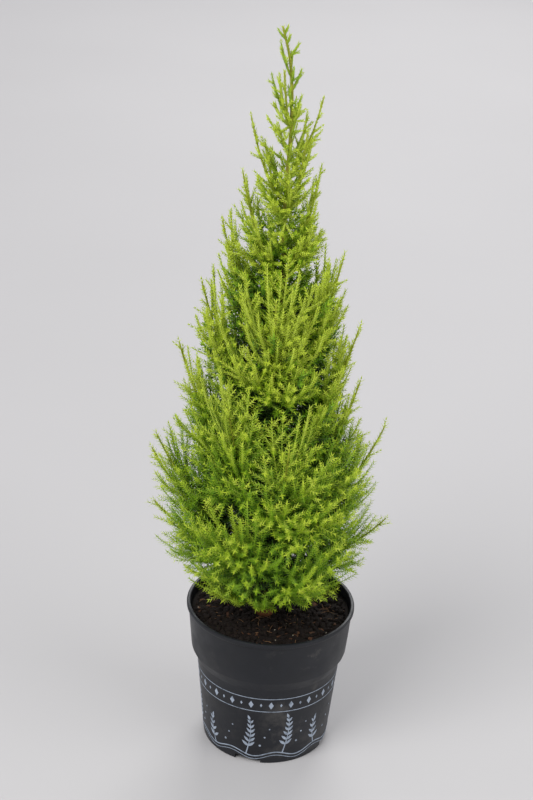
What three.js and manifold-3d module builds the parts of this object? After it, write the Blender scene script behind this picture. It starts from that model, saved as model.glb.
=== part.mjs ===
// A young golden Monterey cypress in a round nursery pot, standing on the pot's flat underside.
// Millimetres, +Z up. The origin is the middle of the pot's underside, and -Y is the front.
// The trunk runs whole from the soil to the leader. Shoots leave it all round by a seeded rule:
// each is a bough, where its foot is bare, and then one mass of foliage. The tips of the plumes are
// spread evenly over the crown, and each plume grows from the shoot that is nearest to its tip.
import * as THREE from "three";
import { mergeVertices } from "three/addons/utils/BufferGeometryUtils.js";
import Module from "manifold-3d";

const wasm = await Module();
wasm.setup();

// Pot, from the photograph's measuring pole: a 12 cm nursery pot
const potHeight = 107;
const rimRadius = 58.9; // outside, at the lip
const bandFootRadius = 54.8; // outside, at the lower edge of the wide band under the lip
const bandFootHeight = 73;
const bodyTopRadius = 50.6; // outside, just under the band
const bodyTopHeight = 65;
const footRadius = 44.4; // outside, on the ground
const potWall = 1.5;
const lipDepth = 3.4;
const lipProud = 1.1;
const lipSlope = 0.8; // the lip's slanting underside
const lipChamfer = 0.6;
const potSides = 36;
const notchCount = 4; // drainage pockets round the foot
const notchFirstAzimuth = -105;
const notchWide = 18.5;
const notchDeep = 8;
const notchHigh = 4;
const drainRadius = 4;
const drainRing = 27;
const drainCount = 8;
const drainSides = 8;

// Soil
const soilTop = 98;
const soilMound = 3.2; // how far the crumbs stand up between the trunk and the rim
const soilRings = 5;
const soilSides = 18; // each meets every other side of the pot
const flatBed = 9; // the level bed's radius round the trunk's foot
const bedSlope = 14; // how far out from it the crumbs reach their full height
const crumbWave = [0.11, 1.3, 0.09, -0.4]; // turns and starts of the mound's swell across and along
const leastCrumb = 0.15; // its hollows, as a share of the mound's height

// The gap that touching pieces keep, and the shortest edge that a solid has
const clear = 0.3;
const finestEdge = 0.02;

// Trunk: a line through a few places from the soil to the tip of the leader, and its radius along it
const trunkFoot = [-4, -2];
const trunkLine = new THREE.CatmullRomCurve3(
  [
    [...trunkFoot, soilTop + clear],
    [...trunkFoot, 116],
    [-4, 0, 200],
    [-1, 1, 300],
    [-3, 0, 400],
    [-1.5, 0, 455],
    [-4, -1, 492],
    [-9.5, -2, 514],
  ].map((p) => new THREE.Vector3(...p)),
);
const plantTop = 514;
const trunkFootRadius = 4.1;
const trunkTopRadius = 0.7;
const trunkTaper = 0.8; // under 1, it narrows fastest low down
const flareRadius = 2.2; // what the root flare adds at the soil
const flareHeight = 9;
const trunkSides = 8;
const trunkSteps = 17;
const trunkEnd = 0.955; // the share of the line that is trunk. The rest is the leader's own mass

// Crown: how far the shoots' tips stand from the pot's axis on the photograph's left and right
const leftReach = [
  [104, 8],
  [113, 20],
  [120, 34],
  [130, 52],
  [140, 64],
  [150, 73],
  [165, 81],
  [184, 84],
  [221, 84],
  [239, 80],
  [257, 74],
  [283, 67],
  [317, 63],
  [343, 55],
  [359, 46],
  [384, 41],
  [400, 34],
  [424, 29],
  [447, 24],
  [470, 13],
  [504, 7],
];
const rightReach = [
  [104, 8],
  [113, 20],
  [120, 34],
  [130, 49],
  [140, 58],
  [150, 62],
  [175, 70],
  [239, 62],
  [257, 49],
  [309, 43],
  [359, 35],
  [376, 26],
  [392, 18],
  [430, 17],
  [470, 13],
  [504, 4],
];
// Shoots that outgrow the rest of the outline: azimuth in degrees, height of the tip, reach
const longShoots = [
  [178, 458, 27],
  [8, 470, 18],
  [184, 423, 31],
  [-2, 428, 19],
  [176, 388, 43],
  [-4, 371, 37],
  [180, 347, 55],
  [-98, 352, 44],
  [-12, 326, 51],
  [182, 305, 69],
  [-6, 284, 53],
  [-84, 262, 66],
  [2, 248, 72],
  [184, 239, 83],
  [172, 219, 88],
  [-112, 196, 74],
  [-3, 180, 77],
  [176, 181, 85],
  [-66, 158, 70],
  [-140, 132, 54],
  [-30, 134, 52],
  [-95, 128, 36],
];
const shootCount = 31;
const boughCount = 25; // the lowest shoots, which have a bare foot
const lowestTip = 120;
const highestTip = 497;
const tipCrowding = 1.5; // over 1, more of the tips are low down
const goldenAngle = 137.508;
const firstAzimuth = 62;
const azimuthJitter = 9;
const reachShares = [0.9, 1]; // of the crown's reach, where the tips lie
// How far a shoot climbs from its foot to its tip, by the height of the tip
const climb = [
  [120, 14],
  [150, 40],
  [190, 78],
  [300, 118],
  [400, 92],
  [497, 36],
];
const kneeOut = 0.66; // where a shoot turns up, as shares of its way out and of its way up
const kneeUp = 0.3;
const lowestFoot = 102;
const footSpacing = 3.4; // the least height between two shoots' feet
const shootSpacing = 13; // the distance that shoots try to keep
const nearTrunk = 14; // where they stand closer
const asideTurns = [0, 8, -8, 16, -16, 24, -24, 32, -32];
const leastGain = 0.01; // what a turn has to win to be taken
const shootSteps = 14;
const bareFoot = 0.26; // share of a shoot that is bough
const bareHeel = 0.1; // the same, where the shoot has no bough
const shootRadius = 0.0125; // a shoot's radius at its foot, as a share of its length
const shootTaper = 0.85; // how much thinner it is at its tip
const leastShootRadius = 0.55;
const boughFlare = 0.35; // how much thicker a bough's foot is
const boughSides = 5;
const boughSteps = 2;
const plumeHeights = [110, 508]; // of the lowest and the highest tip of a plume
// Square millimetres of the crown's side to each plume, by height
const plumeAreas = [
  [110, 125],
  [380, 120],
  [440, 330],
];
// Where the plumes' tips lie: the chance of each layer, and its depth as shares of the crown's reach
const plumeLayers = [
  [0.62, 0.8, 0.99],
  [0.25, 0.55, 0.8],
  [0.13, 0.22, 0.55],
];
const plumeJitter = 2; // how far a tip may lie above or below its place in the spiral
const plumeBack = [26, 46]; // how far down its shoot a plume starts
const plumeLean = 0.45; // more of that where the tip is far to the side
const plumeStart = 0.02; // the least share of a shoot between its bare foot and a plume
const nearestSteps = 40;
const solidDepth = 0.8; // plumes whose tips lie deeper are left to the core
// Of the rest, the share that is solid, by the height of the shoot's tip
const solidShares = [
  [400, 0.33],
  [440, 0.8],
];
const stemEnd = 0.9; // the share of a shoot where its stem ends, inside the last blade
const stemStout = 1.1;
const stemSides = 3;
const stemSteps = 4;
const endShare = 0.75; // where the last blade starts
const endTurn = 25; // degrees

// Blades, which stand for plumes of needles
const bladeSizes = [1, 0.9, 0.8, 0.7, 0.6, 0.5]; // shares of its plume's length, until one fits
const bladeWidths = [1, 0.8, 0.6, 0.45]; // shares of its width, tried at each length
const bladeWide = 0.6; // shares of a blade's length
const bladeThick = 0.035;
const thinnestBlade = 1;
const bladeLooks = 8; // how often a blade is looked at along its length, to keep it in its space
const bladeTurns = [-15, 50]; // degrees, by turns
const shortestBlade = 8;
const longBlade = 60; // longer ones have three teeth a side
const toothSweep = 0.8; // how far along its own stretch a tooth's point lies
const toothTaper = 0.5; // how much narrower a blade is at its tip
const notchShare = 0.3; // how far out the notches between teeth lie
const nudgeTurn = 0.4; // degrees
const nudgeCount = 9;

// The leader's own stem and blades
const leaderRadii = [0.85, 0.4];
const leaderSides = 4;
const leaderSteps = 2;
const leaderBlades = 7;
const leaderBladeLengths = [13, 6];
const leaderBladeWide = 4.6;
const leaderSpread = 0.55; // how far they lean out
const leaderTurn = new THREE.Vector3(0.2, 1, 0); // they lie across this way
const leaderFirst = 0.006; // shares of the trunk's line: the first blade's start after the leader's own
const leaderLast = 0.992;

// Cores, in the dense masses low in the crown
const coreCount = 28;
const coreFrom = 0.275; // shares of the shoot
const coreTo = 0.88;
const coreShare = 0.14; // a core's greatest radius, as a share of its shoot's length
const coreSwell = [0.12, 0.94]; // the part of half a wave that its radius follows
const coreSides = 4;
const coreSteps = 4;
const coreLeast = 1;
const coreFromTrunk = 3;
const coreFromSoil = 6;
const coreNudge = 0.125; // how much a nudge adds, in millimetres to the degree

// What masses keep clear of
const spaceMargin = 0.9; // on each side of the middle between two shoots
const trunkMargin = 1.2;
const boughMargin = 3;
const rimMargin = 2;
const rimFrom = rimRadius - 8; // from here out the pot's lip counts, not the soil
const topMargin = 2;

// A number from 0 to 1 that depends only on its keys
function chance(...keys) {
  const mixed = Math.sin(keys.reduce((sum, key, i) => sum + key * (12.9898 + 65.2431 * i), 4.1414));
  const spread = mixed * 43758.5453;
  return spread - Math.floor(spread);
}

const between = (low, high, share) => low + (high - low) * share;
const radians = THREE.MathUtils.degToRad;
const up = new THREE.Vector3(0, 0, 1);

// Reads a profile of [height, value] points at a height
function along(profile, height) {
  const last = profile.length - 1;
  if (height <= profile[0][0]) return profile[0][1];
  if (height >= profile[last][0]) return profile[last][1];
  const i = profile.findIndex(([h]) => h > height);
  const [low, high] = [profile[i - 1], profile[i]];
  return between(low[1], high[1], (height - low[0]) / (high[0] - low[0]));
}

function trunkRadius(height) {
  const share = (height - soilTop) / (plantTop - soilTop);
  const flare = flareRadius * Math.exp(-(height - soilTop) / flareHeight);
  return between(trunkFootRadius, trunkTopRadius, THREE.MathUtils.clamp(share, 0, 1) ** trunkTaper) + flare;
}

const trunkPlaces = trunkLine.getPoints(200);
// The trunk's middle at a height
function trunkAt(height) {
  const i = Math.max(1, trunkPlaces.findIndex((p) => p.z >= height));
  const [a, b] = [trunkPlaces[i - 1], trunkPlaces[i]];
  return a.clone().lerp(b, THREE.MathUtils.clamp((height - a.z) / (b.z - a.z), 0, 1));
}

// A shoot leaves the trunk, reaches out and turns up to its tip
function shootTo({ azimuth, height, reach }, footHeight) {
  const [x, y] = [Math.cos(radians(azimuth)), Math.sin(radians(azimuth))];
  const tip = new THREE.Vector3(reach * x, reach * y, height);
  const foot = trunkAt(footHeight);
  const way = tip.clone().sub(foot);
  const knee = foot.clone().add(new THREE.Vector3(kneeOut * way.x, kneeOut * way.y, kneeUp * way.z));
  return new THREE.QuadraticBezierCurve3(foot, knee, tip);
}

// The tips climb the crown in a spiral, and the nearest one to each long shoot moves to its place
function tipsOfShoots() {
  const tips = [];
  for (let k = 0; k < shootCount; k++) {
    const share = (k + 0.5) / shootCount;
    const height = between(lowestTip, highestTip, share ** tipCrowding);
    const azimuth = firstAzimuth + goldenAngle * k + between(-azimuthJitter, azimuthJitter, chance(k, 1));
    const outline = reachAt(height, Math.cos(radians(azimuth)), Math.sin(radians(azimuth)));
    tips.push({ azimuth, height, reach: outline * between(...reachShares, chance(k, 2)), long: false });
  }
  for (const [azimuth, height, reach] of longShoots) {
    const apart = (tip) =>
      Math.hypot(
        tip.reach * Math.cos(radians(tip.azimuth)) - reach * Math.cos(radians(azimuth)),
        tip.reach * Math.sin(radians(tip.azimuth)) - reach * Math.sin(radians(azimuth)),
        tip.height - height,
      );
    const free = tips.filter((tip) => !tip.long);
    const nearest = free.reduce((best, tip) => (apart(tip) < apart(best) ? tip : best));
    Object.assign(nearest, { azimuth, height, reach, long: true });
  }
  return tips.sort((a, b) => a.height - b.height);
}

// The least distance between two shoots, away from the trunk
function shootGap(places, others) {
  let gap = Infinity;
  for (const place of places) {
    if (trunkDistance(place) < nearTrunk) continue;
    gap = Math.min(gap, distanceToLine(place, others));
  }
  return gap;
}

// Shoots grow from the lowest up. One that would crowd another turns aside, unless it is a long one
function growShoots() {
  const grown = [];
  let footHeight = lowestFoot;
  for (const [index, tip] of tipsOfShoots().entries()) {
    footHeight = Math.max(footHeight + footSpacing, tip.height - along(climb, tip.height));
    const tries = tip.long ? [0] : asideTurns;
    let best = null;
    for (const aside of tries) {
      const curve = shootTo({ ...tip, azimuth: tip.azimuth + aside }, footHeight);
      const places = curve.getSpacedPoints(shootSteps);
      const gap = Math.min(shootSpacing, ...grown.map((other) => shootGap(places, other.places)));
      if (!best || gap > best.gap + leastGain) best = { curve, places, gap };
    }
    const hasBough = index < boughCount;
    const length = best.curve.getLength();
    const boughPlaces = [0, 0.5, 1].map((s) => best.curve.getPointAt(bareFoot * s));
    const start = hasBough ? bareFoot : bareHeel;
    grown.push({ ...best, index, length, hasBough, boughPlaces, start, tip: best.curve.v2 });
  }
  return grown;
}

const stretch = new THREE.Line3();
const nearestOn = new THREE.Vector3();
function distanceToLine(place, places) {
  let least = Infinity;
  for (let i = 1; i < places.length; i++) {
    stretch.set(places[i - 1], places[i]).closestPointToPoint(place, true, nearestOn);
    least = Math.min(least, nearestOn.distanceToSquared(place));
  }
  return Math.sqrt(least);
}

function trunkDistance(place) {
  const middle = trunkAt(place.z);
  return Math.hypot(place.x - middle.x, place.y - middle.y);
}

const shoots = growShoots();

// The crown's reach at a height, on the side that the place lies on
function reachAt(height, x, y) {
  const rightward = (1 + x / Math.max(1, Math.hypot(x, y))) / 2;
  return between(along(leftReach, height), along(rightReach, height), rightward);
}

// A plume's depth, in the layer that it falls to
function depthOf(chosen, within) {
  let left = chosen;
  for (const [share, inner, outer] of plumeLayers) {
    if (left < share) return between(inner, outer, within);
    left -= share;
  }
  return plumeLayers[0][2];
}

// The plumes' tips climb the crown in an even spiral, each at the depth of its layer
function growPlumes() {
  const grown = [];
  for (let height = plumeHeights[0]; height < plumeHeights[1]; ) {
    const k = grown.length;
    const turn = radians(goldenAngle * k);
    const out = new THREE.Vector3(Math.cos(turn), Math.sin(turn), 0);
    const reach = reachAt(height, out.x, out.y);
    const depth = depthOf(chance(k, 21), chance(k, 22));
    const tip = out.clone().multiplyScalar(reach * depth);
    tip.z = height + between(-plumeJitter, plumeJitter, chance(k, 23));
    grown.push({ tip, depth, ...rootOf(tip, k) });
    height += along(plumeAreas, height) / (2 * Math.PI * reach);
  }
  return grown;
}

// A plume leaves the shoot that is nearest to its tip, lower down than the place where it is nearest
function rootOf(tip, k) {
  const apart = shoots.map((shoot) => distanceToLine(tip, shoot.places));
  const shoot = shoots[apart.indexOf(Math.min(...apart))];
  let [aside, share] = [Infinity, 0];
  for (let i = 0; i <= nearestSteps; i++) {
    const far = shoot.curve.getPointAt(i / nearestSteps).distanceTo(tip);
    if (far < aside) [aside, share] = [far, i / nearestSteps];
  }
  const back = between(...plumeBack, chance(k, 5)) + plumeLean * aside;
  const rootShare = Math.max(shoot.start + plumeStart, share - back / shoot.length);
  return { shoot, root: shoot.curve.getPointAt(rootShare) };
}

const plumes = growPlumes();

// Solids

function solidOf(geometry) {
  const bare = new THREE.BufferGeometry().setAttribute("position", geometry.getAttribute("position"));
  if (geometry.index) bare.setIndex(geometry.index);
  const merged = mergeVertices(bare, 1e-4);
  const triVerts = new Uint32Array(merged.index.array);
  const vertProperties = merged.attributes.position.array;
  return new wasm.Manifold(new wasm.Mesh({ numProp: 3, vertProperties, triVerts }));
}

const largest = (solid) => solid.decompose().reduce((a, b) => (b.volume() > a.volume() ? b : a));

// Every edge has two faces, also where corners closer than a micrometre count as one
function hasCleanEdges(solid) {
  const { vertProperties, triVerts } = solid.getMesh();
  const corner = (i) => [0, 1, 2].map((k) => Math.round(vertProperties[3 * i + k] * 1000)).join();
  const faces = new Map();
  for (let t = 0; t < triVerts.length; t += 3) {
    const [a, b, c] = [0, 1, 2].map((k) => corner(triVerts[t + k]));
    if (a === b || b === c || c === a) continue;
    for (const ends of [[a, b], [b, c], [c, a]]) {
      const edge = ends.sort().join(" to ");
      faces.set(edge, (faces.get(edge) ?? 0) + 1);
    }
  }
  return [...faces.values()].every((count) => count === 2);
}

function geometryOf(solid) {
  const mesh = largest(solid).simplify(finestEdge).getMesh();
  const geometry = new THREE.BufferGeometry();
  geometry.setAttribute("position", new THREE.BufferAttribute(mesh.vertProperties, 3));
  geometry.setIndex(new THREE.BufferAttribute(mesh.triVerts, 1));
  geometry.computeVertexNormals();
  return geometry;
}

// A round form bent along a stretch of a curve. radiusAt takes the share along the stretch
function bent(form, curve, from, to, radiusAt, steps) {
  const frames = [];
  const lean = curve.getTangentAt(from);
  const side = new THREE.Vector3(Math.abs(lean.x) < 0.8 ? 1 : 0, Math.abs(lean.x) < 0.8 ? 0 : 1, 0);
  for (let i = 0; i <= steps; i++) {
    const share = between(from, to, i / steps);
    const tangent = curve.getTangentAt(share);
    side.addScaledVector(tangent, -side.dot(tangent)).normalize();
    const over = new THREE.Vector3().crossVectors(tangent, side);
    frames.push({ middle: curve.getPointAt(share), side: side.clone(), over });
  }
  const places = form.getAttribute("position");
  for (let i = 0; i < places.count; i++) {
    const share = THREE.MathUtils.clamp(places.getY(i) + 0.5, 0, 1);
    const { middle, side, over } = frames[Math.round(share * steps)];
    const radius = radiusAt(share);
    const place = middle
      .clone()
      .addScaledVector(side, radius * places.getX(i))
      .addScaledVector(over, -radius * places.getZ(i));
    places.setXYZ(i, place.x, place.y, place.z);
  }
  return solidOf(form);
}

function limb(curve, from, to, radiusAt, sides, steps) {
  return bent(new THREE.CylinderGeometry(1, 1, 1, sides, steps), curve, from, to, radiusAt, steps);
}

// A spindle: pointed at both ends
function spindle(curve, from, to, radiusAt, sides, steps) {
  const profile = [];
  for (let i = 0; i <= steps; i++) {
    profile.push(new THREE.Vector2(i === 0 || i === steps ? 0 : 1, i / steps - 0.5));
  }
  return bent(new THREE.LatheGeometry(profile, sides), curve, from, to, radiusAt, steps);
}

// A toothed blade: two rows of forward teeth, thickest along its middle and sharp at its edge.
// It starts at a point, inside what carries it
function bladeGeometry(root, way, flat, length, halfWidth, thick, teeth) {
  const proud = new THREE.Vector3().crossVectors(way, flat);
  const corners = [];
  const put = (x, y, z) => {
    const place = root.clone().addScaledVector(way, x);
    corners.push(place.addScaledVector(flat, y).addScaledVector(proud, z));
    return corners.length - 1;
  };
  const step = length / teeth;
  const heel = put(0, 0, 0);
  const tip = put(length, 0, 0);
  const middles = new Map([1, -1].map((face) => [face, [heel]]));
  for (let i = 1; i < teeth; i++) {
    const half = (thick / 2) * (1 - (0.5 * i) / teeth);
    for (const face of [1, -1]) middles.get(face).push(put(i * step, 0, face * half));
  }
  for (const face of [1, -1]) middles.get(face).push(tip);
  const faces = [];
  for (const hand of [1, -1]) {
    let notch = heel;
    for (let i = 0; i < teeth; i++) {
      const share = (i + toothSweep) / teeth;
      const point = put(share * length, hand * halfWidth * (1 - toothTaper * share ** 2), 0);
      const next = i < teeth - 1 ? put((i + 1) * step, hand * notchShare * halfWidth, 0) : tip;
      for (const face of [1, -1]) {
        const add = (a, b, c) => faces.push(...(face * hand > 0 ? [a, c, b] : [a, b, c]));
        const [near, far] = [middles.get(face)[i], middles.get(face)[i + 1]];
        if (i > 0) add(near, notch, point);
        add(near, point, far);
        if (i < teeth - 1) add(far, point, next);
      }
      notch = next;
    }
  }
  const geometry = new THREE.BufferGeometry().setFromPoints(corners);
  geometry.setIndex(faces);
  return geometry;
}

// Spaces: every mass keeps to the points that are nearer to its own shoot than to any other

function roomAt(place, own) {
  let room = Infinity;
  for (let k = 0; k < shootCount; k++) {
    if (k !== own) room = Math.min(room, distanceToLine(place, shoots[k].places));
  }
  return room;
}

function inSpace(place, own) {
  const fromAxis = Math.hypot(place.x, place.y);
  const floor = fromAxis > rimFrom ? potHeight + rimMargin : soilTop + soilMound + rimMargin;
  if (place.z < floor || place.z > plantTop + topMargin) return false;
  if (trunkDistance(place) < trunkRadius(place.z) + trunkMargin) return false;
  return distanceToLine(place, shoots[own].places) + spaceMargin < roomAt(place, own);
}

// True where a blade's middle and edges lie in its shoot's space, clear of the shoot's own bough
function bladeFits(shoot, root, way, flat, size, halfWidth) {
  for (let i = 1; i <= bladeLooks; i++) {
    const share = i / bladeLooks;
    const half = halfWidth * Math.min(1, 2 * share) * (1 - toothTaper * share ** 2);
    for (const aside of [-half, 0, half]) {
      const place = root.clone().addScaledVector(way, share * size).addScaledVector(flat, aside);
      if (!inSpace(place, shoot.index)) return false;
      if (shoot.hasBough && distanceToLine(place, shoot.boughPlaces) < boughMargin) return false;
    }
  }
  return true;
}

// A blade that keeps to the space of its shoot: narrower or shorter where it has to be, or none.
// It is turned from lying across the way out from the pot's axis
function fittedBlade(shoot, root, tip, turn) {
  const way = tip.clone().sub(root);
  const length = way.length();
  way.normalize();
  const outward = new THREE.Vector3(root.x, root.y, 0).normalize();
  const across = new THREE.Vector3().crossVectors(way, outward).normalize();
  const flat = across.applyAxisAngle(way, radians(turn));
  for (const share of bladeSizes) {
    const size = length * share;
    if (size < shortestBlade) break;
    const teeth = size > longBlade ? 3 : 2;
    for (const width of bladeWidths) {
      const halfWidth = (bladeWide * size * width) / 2;
      if (!bladeFits(shoot, root, way, flat, size, halfWidth)) continue;
      const thick = Math.max(thinnestBlade, bladeThick * size);
      return [solidOf(bladeGeometry(root, way, flat, size, halfWidth, thick, teeth))];
    }
  }
  return [];
}

const join = (solids) => solids.reduce((whole, next) => whole.add(next));

const trunkCut = limb(trunkLine, 0, trunkEnd, (s) => trunkRadiusAlong(s) + clear, trunkSides, trunkSteps);

function trunkRadiusAlong(share) {
  return trunkRadius(trunkLine.getPointAt(share * trunkEnd).z);
}

function shootRadiusAt(shoot, share) {
  return Math.max(leastShootRadius, shoot.length * shootRadius * (1 - shootTaper * share));
}

function bough(shoot) {
  const radiusAt = (s) => shootRadiusAt(shoot, s * bareFoot) * (1 + boughFlare * (1 - s) ** 3);
  return limb(shoot.curve, 0, bareFoot, radiusAt, boughSides, boughSteps).subtract(trunkCut);
}

// Where blades happen to meet in an edge that four faces share, they turn by a hair
function foliage(shoot) {
  for (let i = 0; i < nudgeCount; i++) {
    const solid = largest(foliageTurned(shoot, i * nudgeTurn)).simplify(finestEdge);
    if (hasCleanEdges(solid)) return solid;
  }
  throw new Error("mass " + shoot.index + " has an edge that four faces share");
}

function foliageTurned(shoot, nudge) {
  const from = shoot.hasBough ? bareFoot + clear / shoot.length : 0;
  const radiusAt = (s) => shootRadiusAt(shoot, between(from, stemEnd, s)) * stemStout;
  const pieces = [limb(shoot.curve, from, stemEnd, radiusAt, stemSides, stemSteps)];
  if (shoot.index < coreCount) pieces.push(core(shoot, nudge));
  const own = plumes.filter((plume) => plume.shoot === shoot && plume.depth >= solidDepth);
  const solidShare = along(solidShares, shoot.tip.z);
  for (const [j, { root, tip }] of own.entries()) {
    if (Math.floor((j + 1) * solidShare) === Math.floor(j * solidShare)) continue;
    pieces.push(...fittedBlade(shoot, root, tip, nudge + bladeTurns[j % 2]));
  }
  pieces.push(...fittedBlade(shoot, shoot.curve.getPointAt(endShare), shoot.tip, nudge + endTurn));
  return join(pieces).subtract(trunkCut);
}

// The dense heart of a mass, clear of its neighbours' spaces
function core(shoot, nudge) {
  const radiusAt = (s) => {
    const place = shoot.curve.getPointAt(between(coreFrom, coreTo, s));
    const room = (roomAt(place, shoot.index) - spaceMargin) / 2 - coreLeast;
    const fromTrunk = trunkDistance(place) - trunkRadius(place.z) - coreFromTrunk;
    const free = Math.min(room, fromTrunk, place.z - soilTop - coreFromSoil);
    const swell = Math.sin(Math.PI * between(...coreSwell, s));
    return Math.max(coreLeast, Math.min(free, shoot.length * coreShare + nudge * coreNudge) * swell);
  };
  return spindle(shoot.curve, coreFrom, coreTo, radiusAt, coreSides, coreSteps);
}

function leader() {
  const from = trunkEnd + clear / trunkLine.getLength();
  const pieces = [limb(trunkLine, from, 1, (s) => between(...leaderRadii, s), leaderSides, leaderSteps)];
  for (let j = 0; j < leaderBlades; j++) {
    const rise = j / (leaderBlades - 1);
    const share = between(from + leaderFirst, leaderLast, rise);
    const root = trunkLine.getPointAt(share);
    const turn = radians(goldenAngle * j);
    const aside = new THREE.Vector3(Math.cos(turn), Math.sin(turn), 0);
    const way = trunkLine.getTangentAt(share).addScaledVector(aside, leaderSpread).normalize();
    const flat = new THREE.Vector3().crossVectors(way, leaderTurn).normalize();
    const length = between(...leaderBladeLengths, rise);
    pieces.push(solidOf(bladeGeometry(root, way, flat, length, leaderBladeWide / 2, thinnestBlade, 2)));
  }
  return join(pieces);
}

// Pot

function lathe(profile, sides) {
  return solidOf(
    new THREE.LatheGeometry(profile.map(([r, z]) => new THREE.Vector2(r, z)), sides).rotateX(Math.PI / 2),
  );
}

// The pot's outside radius at a height, without the lip
function potRadius(height) {
  return along(
    [
      [0, footRadius],
      [bodyTopHeight, bodyTopRadius],
      [bandFootHeight, bandFootRadius],
      [potHeight, rimRadius - lipProud],
    ],
    height,
  );
}

function block(azimuth, radius, deep, wide, low, high) {
  const shape = new THREE.BoxGeometry(deep, wide, high - low);
  shape.translate(radius + deep / 2, 0, (low + high) / 2).rotateZ(radians(azimuth));
  return solidOf(shape);
}

const notchAzimuths = Array.from(
  { length: notchCount },
  (_, i) => notchFirstAzimuth + (360 / notchCount) * i,
);
const notchInner = footRadius - notchDeep;

function pot() {
  const inner = (z) => potRadius(z) - potWall;
  const profile = [
    [0, 0],
    [footRadius, 0],
    ...[bodyTopHeight, bandFootHeight].map((z) => [potRadius(z), z]),
    [potRadius(potHeight - lipDepth), potHeight - lipDepth],
    [rimRadius, potHeight - lipDepth + lipSlope],
    [rimRadius, potHeight - lipChamfer],
    [rimRadius - lipChamfer, potHeight],
    [inner(potHeight), potHeight],
    ...[bandFootHeight, bodyTopHeight, potWall].map((z) => [inner(z), z]),
    [0, potWall],
  ];
  let made = lathe(profile, potSides);
  const inside = lathe([[0, 0.1], [potRadius(0.1) - 0.2, 0.1], [inner(20) + 0.4, 20], [0, 20]], potSides);
  for (const azimuth of notchAzimuths) {
    const liningWide = notchWide + 2 * potWall;
    const lining = block(azimuth, notchInner - potWall, 20, liningWide, 0.5, notchHigh + potWall);
    made = made.add(lining.intersect(inside));
    made = made.subtract(block(azimuth, notchInner, 20, notchWide, -5, notchHigh));
  }
  for (let i = 0; i < drainCount; i++) {
    const drain = new THREE.CylinderGeometry(drainRadius, drainRadius, 10, drainSides);
    drain.rotateX(Math.PI / 2);
    const azimuth = radians(notchFirstAzimuth + (360 / drainCount) * (i + 0.5));
    drain.translate(drainRing * Math.cos(azimuth), drainRing * Math.sin(azimuth), 0);
    made = made.subtract(solidOf(drain));
  }
  return made;
}

// Crumbs stand a little proud of a level bed, which is flat under the trunk and lower at the wall
function soilHeight(x, y) {
  const fromTrunk = Math.hypot(x - trunkFoot[0], y - trunkFoot[1]);
  const share = THREE.MathUtils.clamp((fromTrunk - flatBed) / bedSlope, 0, 1);
  const [across, acrossStart, deep, deepStart] = crumbWave;
  const swell = 0.5 + 0.5 * Math.sin(across * x + acrossStart) * Math.cos(deep * y + deepStart);
  return soilTop + soilMound * share * between(leastCrumb, 1, swell);
}

function soil() {
  const outer = (z) => potRadius(z) - potWall - clear;
  const bed = potWall + clear;
  const profile = [
    [0, bed],
    ...[bed, bodyTopHeight, bandFootHeight, soilTop].map((z) => [outer(z), z]),
  ];
  for (let i = soilRings - 1; i >= 0; i--) profile.push([(outer(soilTop) * i) / soilRings, soilTop]);
  const form = new THREE.LatheGeometry(profile.map(([r, z]) => new THREE.Vector2(r, z)), soilSides);
  form.rotateX(Math.PI / 2);
  const places = form.getAttribute("position");
  for (let i = 0; i < places.count; i++) {
    const [x, y] = [places.getX(i), places.getY(i)];
    if (places.getZ(i) > soilTop - 0.01 && Math.hypot(x, y) < outer(soilTop) - 1) {
      places.setZ(i, soilHeight(x, y));
    }
  }
  let made = solidOf(form);
  for (const azimuth of notchAzimuths) {
    const round = potWall + clear;
    made = made.subtract(
      block(azimuth, notchInner - round, 30, notchWide + 2 * round, 0, notchHigh + round),
    );
  }
  return made;
}

// Materials and the finished group

const finish = (color, roughness) => new THREE.MeshStandardMaterial({ color, roughness, metalness: 0 });
const plastic = finish(0x2b2c2e, 0.55);
const peat = finish(0x1d1511, 1);
const bark = finish(0x7a5233, 0.85);
const greenBark = finish(0x8f8f3a, 0.75);
const needles = finish(0x8fae2a, 0.6);

const plant = new THREE.Group();
function place(name, solid, material) {
  const mesh = new THREE.Mesh(geometryOf(solid), material);
  mesh.name = name;
  plant.add(mesh);
}

const numbered = (word, k) => word + "_" + String(k + 1).padStart(2, "0");
place("pot", pot(), plastic);
place("soil", soil(), peat);
place("trunk", limb(trunkLine, 0, trunkEnd, trunkRadiusAlong, trunkSides, trunkSteps), bark);
for (const shoot of shoots) {
  if (shoot.hasBough) place(numbered("bough", shoot.index), bough(shoot), greenBark);
  place(numbered("foliage", shoot.index), foliage(shoot), needles);
}
place("foliage_leader", leader(), needles);

export default plant;
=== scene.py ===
"""The looks of a young golden Monterey cypress in a round nursery pot.

Lengths are in millimetres until a mesh is made, and -Y is the front. The trunk, shoots and plumes grow
by the same rule as the solids. Here more plumes stand between theirs, a share of them bears sprigs, and
every twig carries needles.
"""

import math

import bpy
import numpy as np
from mathutils import Matrix, noise, Vector


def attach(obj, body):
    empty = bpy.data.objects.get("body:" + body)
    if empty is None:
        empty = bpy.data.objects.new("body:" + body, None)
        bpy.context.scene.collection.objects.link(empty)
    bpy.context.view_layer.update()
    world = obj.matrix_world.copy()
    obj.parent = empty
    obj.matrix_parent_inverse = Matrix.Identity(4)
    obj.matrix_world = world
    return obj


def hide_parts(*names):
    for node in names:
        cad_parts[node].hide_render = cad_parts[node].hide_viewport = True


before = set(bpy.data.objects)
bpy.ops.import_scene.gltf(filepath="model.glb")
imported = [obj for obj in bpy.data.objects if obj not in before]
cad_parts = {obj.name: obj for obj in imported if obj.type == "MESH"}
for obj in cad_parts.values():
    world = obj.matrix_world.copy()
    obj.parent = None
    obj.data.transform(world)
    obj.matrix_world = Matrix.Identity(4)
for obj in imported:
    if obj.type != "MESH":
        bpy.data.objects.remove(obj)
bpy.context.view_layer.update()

MM = 0.001
UP = np.array([0.0, 0.0, 1.0])

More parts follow.
